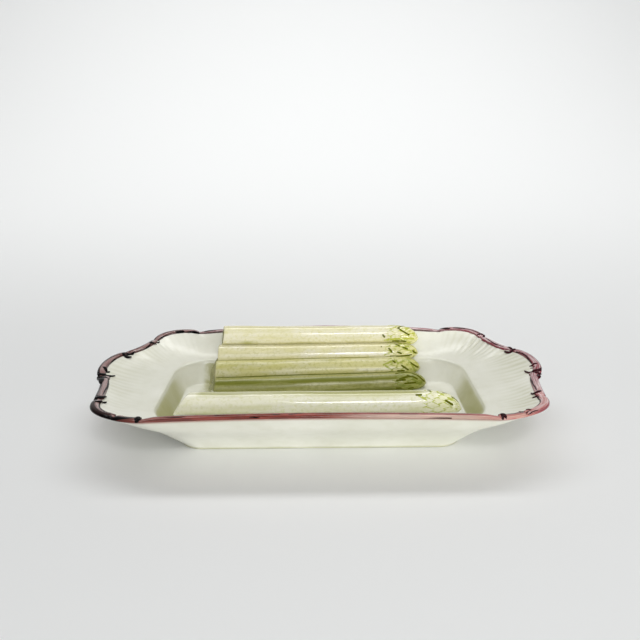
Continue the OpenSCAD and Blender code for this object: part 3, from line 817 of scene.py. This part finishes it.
def beadRing(station):
    # cross-section of the moulding: round above, sunk a little into its ledge
    inward = inwardAt(station["rim"])
    width = rimPlan["beadWidth"] * mm * station["width"]
    height = rimPlan["beadHeight"] * mm * station["height"]
    middle = station["rim"] + inward * width / 2
    ledge = station["top"] - rimPlan["beadHeight"] * mm
    ring, across = [], []
    for angle in evenly(0, math.pi, beadForm["over"]):
        spot = middle - inward * (width / 2) * math.cos(angle)
        ring.append(lifted(spot, ledge + height * math.sin(angle) ** beadForm["fullness"]))
        across.append(math.cos(angle))
    for k in range(beadForm["under"]):
        share = (k + 0.5) / beadForm["under"]
        spot = middle + inward * (width / 2) * beadForm["underReach"] * (1 - 2 * share)
        ring.append(lifted(spot, ledge - beadForm["sunk"] * mm))
        across.append(2 * share - 1)
    return ring, across


curlForm = {
    "finer": 9, "around": 12, "ink": 0.95, "from": 0.85, "to": 1.1, "slimEnds": 0.04, "slimmest": 0.1,
    # it rises and sinks these shares of its height, and follows the ground this far down
    "rise": 0.55, "sink": 0.5, "deepest": 3.5,
    # a place that lies off the rim moves in by this share until it lies on it
    "tries": 8, "inward": 0.004,
}
# rays that look for the ground start this high, in metres
above = 0.2


def curlRings(path, width, height, surfaces):
    # a tapered ridge along a short path on top of what lies under it
    points = [Vector((x * mm, y * mm, 0)) for x, y in inPairs(path)]
    found = []
    for place in smoothLine(points, [curlForm["finer"]] * (len(points) - 1)):
        for number in range(curlForm["tries"]):
            spot = place * (1 - curlForm["inward"] * number)
            hits = [tree.ray_cast(lifted(spot, above), Vector((0, 0, -1)))[0] for tree in surfaces]
            grounds = [hit.z for hit in hits if hit]
            if grounds:
                found.append((spot, max(grounds)))
                break
    last = len(found) - 1
    lowest = max(ground for place, ground in found) - curlForm["deepest"] * mm
    rings = []
    for k, (place, ground) in enumerate(found):
        share = k / last
        slim = math.sin(math.pi * between(curlForm["slimEnds"], 1 - curlForm["slimEnds"], share)) ** 0.5
        swell = mm * max(curlForm["slimmest"], slim) * between(curlForm["from"], curlForm["to"], share)
        ahead = found[min(k + 1, last)][0] - found[max(k - 1, 0)][0]
        side = Vector((-ahead.y, ahead.x, 0)).normalized()
        ring = []
        for angle in evenly(0, 2 * math.pi, curlForm["around"])[:-1]:
            lift = math.sin(angle) * height * swell * curlForm["rise" if math.sin(angle) > 0 else "sink"]
            ring.append(lifted(place, max(ground, lowest) + lift) + side * math.cos(angle) * width * swell)
        rings.append(ring)
    return rings


def buildMoulding(node, first, steps, table, alongStart):
    bm = bmesh.new()
    along, acrossLayer, ink = newLayers(bm, "alongRim", "acrossRim", "ink")
    sections = [beadRing(stations[(first + k) % len(stations)]) for k in range(steps + 1)]
    across = sections[0][1]
    spans = [beadForm["finer"]] * steps
    columns = [smoothLine([ring[k] for ring, marks in sections], spans) for k in range(len(across))]
    rings = list(zip(*columns))
    made = loftRings(bm, rings)
    travelled = alongStart
    for k, ring in enumerate(made):
        if k:
            travelled += (rings[k][0] - rings[k - 1][0]).length
        for vert, mark in zip(ring, across):
            vert[along] = travelled
            vert[acrossLayer] = mark
            vert[ink] = inkAt(table, vert.co.x / mm, vert.co.y / mm)
    ownTree = BVHTree.FromBMesh(bm)
    for number, (width, height, *path) in enumerate(rimCurls.get(node, [])):
        for ring in loftRings(bm, curlRings(path, width, height, [dishTree, ownTree])):
            for vert in ring:
                vert[along] = travelled + number
                vert[ink] = curlForm["ink"]
    finishPiece(node.replace("_", "-") + "-moulding", bm, node, rimPaint)
    return travelled


print("stage 3: rim mouldings")
finer = rimPlan["finer"]
scrollSteps = [(scroll[0], scroll[3] * finer) for scroll in rimPlan["scrolls"]]
runTotal = rimPlan["runSteps"] * finer
table = strokeTable()
pieces = [(name + "_right", count) for name, count in scrollSteps] + [("rim_rear", runTotal)]
pieces += [(name + "_left", count) for name, count in reversed(scrollSteps)] + [("rim_front", runTotal)]
at, travelled = 0, 0.0
for node, count in pieces:
    travelled = buildMoulding(node, at, count, table, travelled)
    at += count

# The spears

spearForm = {
    "around": 132, "bodyRings": 90, "tipStep": 0.4,
    # the cut end: its rounded edge, the rings across it and how far in they reach
    "cutEdge": 1.5, "cutShares": (0.0, 0.35, 0.7), "cutSteps": 4, "cutDepth": 0.55, "lean": 6,
    # how much of the radius lies above the bed, the joint between pieces and the top of the well's floor
    "bedShare": 0.7, "gap": 0.2, "floor": 12.0,
    "body": [(0.0, 1.0), (0.22, 0.985), (0.45, 1.0), (0.72, 0.99), (1.0, 1.0)],
    "tip": [(0.0, 1.0), (0.17, 0.99), (0.34, 0.96), (0.51, 0.90), (0.67, 0.79), (0.82, 0.61), (0.93, 0.37),
            (1.0, 0.06)],
    "droop": 0.45, "ripple": 0.4, "rippleAlong": 0.025, "rippleAround": 0.8, "grooveFrom": 0.86,
    "bractSpacing": 4.9, "bractsAround": 9, "bractHeight": 0.95, "bractLength": 2.25,
    # how wide and how pointed a scale is, how softly it overlaps and how wide its outline is
    "bractReach": 1.1, "bractPoint": 1.2, "bractCover": 0.14, "underneath": 0.6,
    "bractFoot": 0.2, "bractRound": 0.3, "outline": (0.4, 0.06),
    # how each of these comes in along the scaled part or along the tip, and how fast the scales fade
    "scalesFrom": (0, 0.3), "outlinesFrom": (0.02, 0.2), "tipToneFrom": (0.12, 0.75),
    "droopFrom": (0, 0.05), "scalesEnd": 4,
    # from where a brushed line starts to show to where it is full, in millimetres from its middle
    "accentAndShadeWidth": (1.25, 0.6), "outlineWidth": (1.6, 0.6), "bandEnd": 6,
}
bankPlan = {
    "radius": 10.25, "pitch": 18.75, "length": 212, "tip": 30, "bracts": 39,
    "backFromRear": 27.75, "topBelowRim": 6.5, "lowAboveFloor": 4.75, "splay": 0.064,
    "girths": (1.005, 1.03, 0.965, 1.075), "reliefs": (0.85, 0.68, 0.68, 1.15),
    # butt and tip as shares of the length, and how far the cut leans as a share of the radius
    "ends": ((-0.498, 0.502), (-0.491, 0.480), (-0.486, 0.477), (-0.486, 0.485)),
    "slants": (0.3, 0.1, 0.1, 0.55), "turnEach": 0.4, "groove": 0.6,
}
frontSpearPlan = {
    "radius": 11, "length": 238, "tip": 36, "bracts": 39, "inFromEdge": 7.25, "height": 44, "tilt": 25,
    "slant": 15, "ends": (-0.511, 0.489), "turn": 0.2, "splay": 0.0, "relief": 1.0, "lane": 0.0,
    "grooves": (0.0, 0.0),
}


def profileAt(profile, share):
    for (fromShare, fromGirth), (toShare, toGirth) in zip(profile, profile[1:]):
        if share <= toShare:
            return between(fromGirth, toGirth, (share - fromShare) / (toShare - fromShare))
    return profile[-1][1]


def bractAt(distance, angle, rows):
    # height of the scales at a place on the tip, and how near it is to a scale's outline:
    # each scale is a pointed leaf, and the ones further back lie over those in front
    form = spearForm
    spacing = form["bractSpacing"]
    firstRow = -int(form["bractLength"])
    height, edge = 0.0, 0.0
    for row in range(rows, firstRow - 1, -1):
        along = (distance - row * spacing) / (spacing * form["bractLength"])
        if not 0 <= along <= 1:
            continue
        turn = angle / (2 * math.pi) * form["bractsAround"] + row / 2
        offset = abs(turn - round(turn)) * 2
        reach = form["bractReach"] * (1 - along ** form["bractPoint"])
        if offset >= reach:
            continue
        cover = easeStep(0, form["bractCover"], reach - offset)
        own = between(form["bractFoot"], 1, along) * (1 - form["bractRound"] * (offset / reach) ** 2)
        height = between(height, max(own, height * form["underneath"]), cover)
        edge = easeStep(*form["outline"], reach - offset)
    return height, edge


def brushedLightAndShadeAt(strokes, x, across):
    # sum of the brushed bands at a place along and across a spear: dark above zero, for glaze lines and for
    # painted shade, pale below, for painted highlights
    tone = 0.0
    end = spearForm["bandEnd"]
    for fromX, fromAcross, toX, toAcross, width, strength in strokes:
        if fromX - end < x < toX + end:
            middle = between(fromAcross, toAcross, clampTo((x - fromX) / (toX - fromX), 0, 1))
            share = easeStep(fromX - end, fromX + end, x) * easeStep(toX + end, toX - end, x)
            tone += strength * share * easeStep(width, width / 4, abs(across - middle))
    return tone


def gapTo(paths, x, turned, reach):
    # how far a place on a spear is, over its surface, from the nearest of some paths that pass close by
    nearest, close = 9.0, 2
    for path in paths:
        for ends in zip(path, path[1:]):
            if min(ends)[0] - close < x < max(ends)[0] + close:
                flat = [Vector((place, math.radians(turn) * reach)) for place, turn in ((x, turned), *ends)]
                nearest = min(nearest, onLine(*flat)[1])
    return nearest


def buildSpear(node, plan, glazeName, gloss):
    bm = bmesh.new()
    form = spearForm
    radius, slant, slope, centre = plan["radius"], plan["slant"], plan["slope"], plan["centre"]
    start, end = (plan["length"] * share for share in plan["ends"])
    low, high, down = plan["limits"]
    tipStart = end - plan["tip"]
    bractStart = end - plan["bracts"]
    bractRows = int(plan["bracts"] / form["bractSpacing"]) + 1
    cut = form["cutEdge"]
    accentAndShades, outlines = ([inPairs(path) for path in table[node]] for table in (tipAccentsAndButtShade, tipOutlines))
    # each row of the spear: where it lies along it and its radius
    rows = [(start, radius - cut - radius * form["cutDepth"] * (1 - share)) for share in form["cutShares"]]
    for angle in evenly(0, math.pi / 2, form["cutSteps"]):
        rows.append((start + cut * (1 - math.cos(angle)), radius - cut + cut * math.sin(angle)))
    rows += [(x, radius) for x in evenly(start + cut, bractStart, form["bodyRings"])[1:-1]]
    rows += [(x, radius) for x in evenly(bractStart, end, int(plan["bracts"] / form["tipStep"]))]
    rings, marks = [], []
    for x, girth in rows:
        tipShare = clampTo((x - tipStart) / plan["tip"], 0, 1)
        bractShare = clampTo((x - bractStart) / plan["bracts"], 0, 1)
        bodyShare = clampTo((x - start - cut) / (tipStart - start - cut), 0, 1)
        reach = girth * profileAt(form["tip"], tipShare) * profileAt(form["body"], bodyShare)
        splay = 1 - 2 * plan["splay"] * x / bankPlan["length"]
        ring, mark = [], []
        for angle in evenly(0, 2 * math.pi, form["around"])[:-1]:
            lift, edge = 0.0, 0.0
            if bractShare > 0:
                lift, edge = bractAt(x - bractStart, angle + plan["turn"], bractRows)
                lift *= form["bractHeight"] * easeStep(*form["scalesFrom"], bractShare)
                lift *= clampTo((1 - tipShare) * form["scalesEnd"], 0, 1)
            around = Vector((math.cos(angle), math.sin(angle))) * form["rippleAround"]
            ripple = noise.noise(Vector((x * form["rippleAlong"], around.x, around.y + plan["turn"])))
            r = reach + lift + ripple * form["ripple"] * (1 - bractShare)
            drop = (radius - reach) * form["droop"] * easeStep(*form["droopFrom"], tipShare)
            u = clampTo(r * math.cos(angle), low, high)
            w = max(r * math.sin(angle) - drop, -down)
            leanOver = slant * (w / radius + 1) / 2 * (1 - bodyShare) ** form["lean"]
            up = (plan["lane"] + u) * splay
            out = w * splay * plan["relief"] if w > 0 else w
            y = centre[0] + up * math.cos(slope) - out * math.sin(slope)
            z = centre[1] + up * math.sin(slope) + out * math.cos(slope)
            ring.append(Vector((x + leanOver, y, max(z, form["floor"] + form["gap"]))) * mm)
            across = u / (high if u > 0 else -low)
            groove = sum(easeStep(form["grooveFrom"], 1.0, way * across) * depth
                         for way, depth in zip((-1, 1), plan["grooves"]))
            turned = math.degrees(angle)
            accentAndShade, outline = 0.0, 0.0
            # dark touches on the scales, and near the butt a painted shadow line
            if bractShare > 0 or x < start + 3 * cut:
                accentAndShade = easeStep(*form["accentAndShadeWidth"], gapTo(accentAndShades, x, turned, reach))
            if bractShare > 0:
                outline = easeStep(*form["outlineWidth"], gapTo(outlines, x, turned, reach))
            edge *= easeStep(*form["outlinesFrom"], bractShare)
            mark.append((groove, max(edge, outline), accentAndShade, easeStep(*form["tipToneFrom"], bractShare),
                         brushedLightAndShadeAt(spearStrokesLightAndShade[node], x, across)))
        rings.append(ring)
        marks.append(mark)
    layers = newLayers(bm, "groove", "bractEdge", "accentAndShade", "tip", "brushed")
    made = loftRings(bm, rings)
    for ring, mark in zip(made, marks):
        for vert, values in zip(ring, mark):
            for layer, value in zip(layers, values):
                vert[layer] = value
    material = spearGlaze(glazeName, spearLooks[node], gloss)
    finishPiece(node.replace("_", "-") + "-stalk", bm, node, material)


print("stage 4: spears")
spearLooks = {
    "spear_top": ("#EEE9CC", "#E2DCA8", "#F0EBD6", "#C9C578", "#E4E08E", "#B4B934", "#AEAF52", "#F3F0E0"),
    "spear_upper": ("#ECE6C2", "#DED8A6", "#E9E4CE", "#AEAC4A", "#DAD77E", "#A8AE30", "#92943A", "#F3F0E0"),
    "spear_lower": ("#D7D298", "#C4BF76", "#D6D2AE", "#8C8C2E", "#CDCC6E", "#98A02A", "#7E812C", "#F3F0E0"),
    # the bottom spear's darker, greener tones: partly its glaze, partly painted shade where it lies low in
    # the trough
    "spear_bottom": ("#A3A25E", "#8A8B42", "#B6B384", "#686A20", "#A8AC4C", "#7C8622", "#74781E", "#B5AE56"),
    "front_spear": ("#EFEDD8", "#DDDCB4", "#EEECDE", "#D2D29C", "#E4E4AE", "#B2BA46", "#ACAC66", "#F3F0E0"),
}

# Dark touches on the tips, and a painted shadow line round the top spear's butt: paths of x and degrees
# round the spear in turn
tipAccentsAndButtShade = {
    "spear_bottom": [
        (75.3, 62, 88.1, 45, 97.3, 68, 103.3, 108), (86.1, 76, 88.9, 82), (75.7, 108, 83.7, 106),
        (83.7, 128, 93.7, 124), (78.9, 100, 85.7, 88, 91.7, 82, 95.7, 98), (75.7, 156, 79.7, 158),
        (87.7, 164, 91.7, 160),
    ],
    "spear_lower": [(73.6, 80, 75.2, 90), (82, 110, 88, 138), (91.6, 90, 98.8, 124), (78, 142, 84, 144)],
    "spear_upper": [
        (58.4, 66, 62.4, 80), (78, 62, 80.8, 76), (84.8, 86, 88.8, 96), (93.6, 24, 96.4, 28),
        (94.8, 110, 98.4, 138), (70.4, 96, 73.2, 118), (79.2, 120, 82.4, 130),
        (72, 148, 81.2, 150, 92.8, 146),
    ],
    "spear_top": [
        # the first path is a painted shadow line round the butt, where it meets the slip
        (-103.4, 80, -103.4, 156), (80.2, 80, 87.4, 38, 92.2, 40), (80.2, 80, 86.2, 102, 91.4, 116),
        (90.6, 38, 97.8, 48), (57.8, 92, 61.8, 104), (64.6, 120, 66.2, 130), (75, 154, 81.4, 154),
        (83.4, 154, 88.2, 156),
    ],
    "front_spear": [
        (78, 142, 82, 142), (86.8, 56, 90, 116), (94.8, 28, 98.8, 40), (100.8, 110, 106, 102),
        (102, 164, 107.2, 178), (108, 128, 112.4, 118),
    ],
}
# Brushed outlines of the scales on the tips, written the same way
tipOutlines = {
    "spear_bottom": [(90.9, 94, 98.9, 140), (76.5, 130, 84.5, 146, 92.5, 142), (92.5, 134, 100.9, 122)],
    "spear_lower": [
        (62.4, 104, 68.4, 92, 74.8, 68), (66, 110, 72, 136), (73.6, 72, 83.2, 112),
        (78.4, 100, 84.8, 70, 91.2, 44), (89.6, 74, 94.4, 104), (83.2, 126, 90.4, 82),
        (91.6, 90, 96.8, 174),
    ],
    "spear_upper": [
        (72.4, 106, 80, 66, 86.4, 36), (79.6, 76, 85.6, 90, 92.4, 58, 96, 98), (86.4, 36, 94, 26),
        (86.4, 98, 92.8, 112), (66, 138, 72, 122),
    ],
    "spear_top": [
        (67, 150, 77, 140, 96.2, 140), (70.2, 68, 81.8, 18), (86.2, 102, 93.4, 42), (91.4, 116, 97.4, 88),
    ],
    "front_spear": [
        (87.6, 60, 91.6, 146), (80.4, 146, 85.6, 166), (94, 26, 101.2, 74), (96.4, 122, 104, 146, 110, 150),
        (104.8, 64, 111.6, 102, 114, 116),
    ],
}
# Brushed bands: from x and place across (1 up the bank, -1 down it) to x and across, width, strength;
# positive strengths darken, for glaze lines and for painted shade, negative ones lighten, for painted
# highlights
spearStrokesLightAndShade = {
    # the bottom spear: a pale painted highlight along its crown and painted shade over its lower half, with
    # its own olive lines
    "spear_bottom": [
        (-108, 0.95, 100, 0.95, 0.12, 0.8), (-108, 0.55, 92, 0.6, 0.22, -0.35),
        (-108, 0.1, 98, 0.12, 0.34, 0.7), (-30, -0.12, 98, -0.08, 0.12, 0.7), (0, 0.3, 90, 0.34, 0.1, 0.45),
        (-108, -0.5, 90, -0.5, 0.2, -0.25), (-20, -0.95, 98, -0.9, 0.2, 0.8),
        (-108, 0.15, -60, 0.1, 0.6, 0.35),
    ],
    "spear_lower": [
        (-106, -0.98, 98, -0.98, 0.07, 1), (-98, 0.98, -62, 0.98, 0.07, 0.5),
        (-62, 0.98, 96, 0.98, 0.05, 0.3), (35, -0.7, 90, -0.66, 0.2, -0.55),
        (-104, 0.4, -60, 0.3, 0.4, 0.25), (0, 0.6, 20, 0.4, 0.3, 0.3), (-40, -0.3, 20, -0.4, 0.35, -0.3),
    ],
    # the upper spear: its two pale bands low down are painted highlights
    "spear_upper": [
        (-98, 0.96, -80, 0.97, 0.08, 0.35), (8, 0.96, 52, 0.96, 0.08, 0.25),
        (-100, 0.5, -50, 0.5, 0.5, 0.2), (-100, -0.6, 60, -0.62, 0.3, -0.5),
        (16, -0.62, 74, -0.68, 0.16, -0.9), (-90, -0.99, 96, -0.99, 0.05, 0.4),
    ],
    "spear_top": [
        (-96, -0.9, -60, -0.93, 0.14, 0.4), (-80, -0.98, -70, -0.98, 0.1, 0.5),
        (8, -0.76, 52, -0.78, 0.2, 0.3), (8, -0.97, 60, -0.97, 0.06, 0.3), (-96, 0.55, 96, 0.55, 0.3, 0.12),
        (-96, -0.1, 60, -0.1, 0.35, -0.4), (66, -0.92, 96, -0.9, 0.12, 0.6),
    ],
    # the front spear: painted shade along its upper side, a green dash of glaze, and a painted highlight
    # along its lower edge
    "front_spear": [
        (-110, -0.35, 84, -0.35, 0.66, 0.75), (22, -0.08, 34, -0.08, 0.14, 0.6),
        (-110, -0.9, 60, -0.9, 0.1, -0.3),
    ],
}

girths = bankPlan["girths"]
strip = 3 * bankPlan["pitch"] / (2 * sum(girths) - girths[0] - girths[3])
bankRise = rimPlan["height"] - bankPlan["topBelowRim"] - dishPlan["floorHeight"] - bankPlan["lowAboveFloor"]
bankSlope = math.asin(bankRise / (3 * bankPlan["pitch"]))
bankTop = (halfWidth / mm - bankPlan["backFromRear"], rimPlan["height"] - bankPlan["topBelowRim"])
lanes = [-strip * (2 * sum(girths[k:]) - girths[k] - girths[3]) for k in range(4)]
for number, node in enumerate(("spear_bottom", "spear_lower", "spear_upper", "spear_top")):
    lowest, highest = number == 0, number == 3
    radius = bankPlan["radius"] * girths[number]
    side = strip * girths[number] - spearForm["gap"] / 2
    plan = dict(bankPlan, radius=radius, turn=bankPlan["turnEach"] * number,
                slant=radius * bankPlan["slants"][number], relief=bankPlan["reliefs"][number],
                ends=bankPlan["ends"][number], centre=bankTop, slope=bankSlope, lane=lanes[number],
                limits=(-radius if lowest else -side, radius if highest else side,
                        bankPlan["radius"] * spearForm["bedShare"]),
                grooves=(bankPlan["groove"] / 2 if lowest else bankPlan["groove"],
                         0.0 if highest else bankPlan["groove"]))
    slotName, gloss = ("spear_glaze_green", satinGlaze) if number < 2 else ("spear_glaze_pale", glossyGlaze)
    buildSpear(node, plan, node + "Glaze", gloss)

radius = frontSpearPlan["radius"]
frontCentre = (frontSpearPlan["inFromEdge"] - dishPlan["wellWidth"] / 2 - dishPlan["wellForward"],
               frontSpearPlan["height"])
plan = dict(frontSpearPlan, centre=frontCentre, slope=-math.radians(frontSpearPlan["tilt"]),
            limits=(-radius, radius, radius * spearForm["bedShare"]))
buildSpear("front_spear", plan, "frontSpearGlaze", glossyGlaze)

# The beds of slip: what has squeezed out under the spears and round their butts

bedPlan = {"across": 26, "lift": -0.3, "least": 0.1}
rearBedPlan = {
    "places": (evenly(-112, -105, 8)[:-1] + evenly(-105, -99, 12) + [-98] + evenly(-96, 80, 20)
               + [83, 86, 89, 92, 93]),
    # front and back edge under the spears and round the butts, as shares of the radius and in millimetres
    "fronts": (0.8, -0.95), "backs": (96.5, 73), "backChange": (-98, -101),
    # the mound round the butts begins and ends here, and its foot is a hollow fillet
    "moundChange": (-100, -104), "moundEnds": (112, 102.5), "crownDrop": 0.1, "fillet": 7, "hollow": 1.8,
    "rearward": (62, 75), "tipFall": (93, 84),
}
frontBedPlan = {
    "places": evenly(-121, -116.2, 8) + evenly(-115, 100, 26) + evenly(103, 112, 3),
    # its sides as shares of the spear's radius, and how much slip has squeezed out beyond them
    "sides": (-0.62, 0.75), "squeezed": (-1, 3), "leftEnd": 121, "leftFall": 5, "rightFall": (112, 100),
}


def dishHeight(x, y):
    hit = dishTree.ray_cast(Vector((x * mm, y * mm, above)), Vector((0, 0, -1)))[0]
    return hit.z / mm if hit else dishPlan["wellEdge"]


def buildBed(name, node, plan, rowOf, material):
    # rowOf gives, for a place along the bed, its front and back and the height of its top at y
    bm = bmesh.new()
    rings = []
    for x in plan["places"]:
        front, back, topAt = rowOf(x, plan)
        ys = evenly(front, back, bedPlan["across"])
        under = [dishHeight(x, y) + bedPlan["lift"] for y in ys]
        over = [max(topAt(y, floor), floor + bedPlan["least"]) for y, floor in zip(ys, under)]
        line = list(zip(ys, under)) + list(zip(ys, over))[-2:0:-1]
        rings.append([Vector((x, y, z)) * mm for y, z in line])
    loftRings(bm, rings)
    finishPiece(name, bm, node, material)


def rearRow(x, plan):
    # a wedge under the spears that ends in a soft mound round their butts
    radius = bankPlan["radius"]
    low = Vector(bankTop) + lanes[0] * Vector((math.cos(bankSlope), math.sin(bankSlope)))
    plane = (radius * spearForm["bedShare"] + spearForm["gap"]) / math.cos(bankSlope)
    mound = easeStep(*plan["moundChange"], x)
    tipFall = easeStep(*plan["tipFall"], x)

    def topAt(y, floor):
        rearward = easeStep(*plan["rearward"], y)
        middle = low.y + (y - low.x) * math.tan(bankSlope)
        crown = middle - radius * plan["crownDrop"] / math.cos(bankSlope)
        if y < low.x:
            crown = min(crown, low.y + math.sqrt(max(0.0, radius ** 2 - (low.x - y) ** 2)) - 1)
        fall = clampTo((x + between(*plan["moundEnds"], rearward)) / plan["fillet"], 0, 1) ** plan["hollow"]
        top = between(middle - plane, crown, mound * (1 - rearward))
        return floor + max(0.0, top - floor) * fall * tipFall

    front = low.x + radius * between(*plan["fronts"], mound)
    return front, between(*plan["backs"], easeStep(*plan["backChange"], x)), topAt


def frontRow(x, plan):
    # a flat strip under the front spear, falling off at both ends
    tilt = -math.radians(frontSpearPlan["tilt"])
    radius = frontSpearPlan["radius"]
    deep = radius * spearForm["bedShare"] + spearForm["gap"]
    middle = Vector(frontCentre) + deep * Vector((math.sin(tilt), -math.cos(tilt)))
    across = radius * Vector((math.cos(tilt), math.sin(tilt)))
    front, back = (middle + across * share for share in plan["sides"])
    fall = clampTo((x + plan["leftEnd"]) / plan["leftFall"], 0, 1) * easeStep(*plan["rightFall"], x)

    def topAt(y, floor):
        flat = between(front.y, back.y, (y - front.x) / (back.x - front.x))
        return floor + max(0.0, flat - floor) * math.sqrt(fall)

    return front.x + plan["squeezed"][0], back.x + plan["squeezed"][1], topAt


print("stage 5: beds of slip")
buildBed("spear-bed-slip", "spear_bed", rearBedPlan, rearRow, slip)
buildBed("front-spear-bed-slip", "front_spear_bed", frontBedPlan, frontRow, ivory)

# Stage, light and camera

stagePlan = {
    "half": 7.0, "back": 3.6, "rise": 3.2, "bend": 2.6, "bendSteps": 32,
    "paper": {"Base Color": (0.82, 0.83, 0.83, 1), "Roughness": 0.7},
    "air": {"Color": (1.0, 0.995, 0.975, 1), "Strength": 0.24},
}
# place, aim, size and power
lightPlan = {
    "overhead": ((0.7, 0.1, 1.5), (0, 0, 0), (1.6, 1.4), 1.0),
    "window": ((0.095, -0.78, 0.72), (0.0, 0.0, 0.04), (0.23, 0.07), 1.3),
    "fill": ((-0.1, -1.3, 0.85), (0, 0, 0.03), (2.0, 0.9), 6.2),
    "front": ((1.2, -1.2, 0.17), (0, 0, 0.03), (1.2, 0.3), 15.5),
    "backdrop": ((0, 1.0, 2.2), (0, 2.4, 0.3), (4.0, 1.0), 61),
}
cameraPlan = {
    "target": (0.0, -4.75, 44.5), "distance": 585, "elevation": 22.27, "sensor": 36, "near": 0.01,
    "focalPixels": 642, "imagePixels": 640, "targetPixel": (319.5, 375.0), "roll": -0.5,
}


def buildSweep():
    # a pale floor that curves up behind without a seam
    bm = bmesh.new()
    half, back, bend = stagePlan["half"], stagePlan["back"], stagePlan["bend"]
    line = [Vector((0, -half, 0)), Vector((0, back - bend, 0))]
    for angle in evenly(0, math.pi / 2, stagePlan["bendSteps"])[1:]:
        line.append(Vector((0, back - bend + bend * math.sin(angle), bend * (1 - math.cos(angle)))))
    line.append(Vector((0, back, stagePlan["rise"])))
    verts = [bmesh.ops.create_vert(bm, co=p - Vector((half, 0, 0)))["vert"][0] for p in line]
    edges = [bm.edges.new(pair) for pair in zip(verts, verts[1:])]
    grown = bmesh.ops.extrude_edge_only(bm, edges=edges)["geom"]
    moved = [v for v in grown if isinstance(v, bmesh.types.BMVert)]
    bmesh.ops.translate(bm, vec=(2 * half, 0, 0), verts=moved)
    paper = GlazeMaterial("paper", stagePlan["paper"], {})
    showMesh("sweep", bm, paper.material)


def softLight(name, place, aim, size, power):
    lamp = bpy.data.lights.new(name, "AREA")
    lamp.shape = "RECTANGLE"
    lamp.size, lamp.size_y = size
    lamp.energy = power
    holder = bpy.data.objects.new(name, lamp)
    holder.location = place
    holder.rotation_euler = (Vector(aim) - Vector(place)).to_track_quat("-Z", "Y").to_euler()
    bpy.context.scene.collection.objects.link(holder)


def placeCamera():
    lens = bpy.data.cameras.new("camera")
    lens.sensor_width = cameraPlan["sensor"]
    pixels, (column, row) = cameraPlan["imagePixels"], cameraPlan["targetPixel"]
    lens.lens = cameraPlan["sensor"] * cameraPlan["focalPixels"] / pixels
    lens.shift_x = (pixels / 2 - column) / pixels
    lens.shift_y = (row - pixels / 2) / pixels
    lens.clip_start = cameraPlan["near"]
    camera = bpy.data.objects.new("camera", lens)
    elevation = math.radians(cameraPlan["elevation"])
    target = Vector(cameraPlan["target"]) * mm
    away = Vector((0, -math.cos(elevation), math.sin(elevation)))
    camera.location = target + away * cameraPlan["distance"] * mm
    roll = Matrix.Rotation(math.radians(cameraPlan["roll"]), 3, "Z")
    camera.rotation_euler = (Euler((math.pi / 2 - elevation, 0, 0)).to_matrix() @ roll).to_euler()
    bpy.context.scene.collection.objects.link(camera)
    bpy.context.scene.camera = camera


print("stage 6: light and camera")
buildSweep()
for name, row in lightPlan.items():
    softLight(name, *row)
world = bpy.data.worlds.new("softRoom")
world.use_nodes = True
for socket, value in stagePlan["air"].items():
    world.node_tree.nodes["Background"].inputs[socket].default_value = value
bpy.context.scene.world = world
placeCamera()
bpy.context.scene.view_settings.view_transform = "Standard"
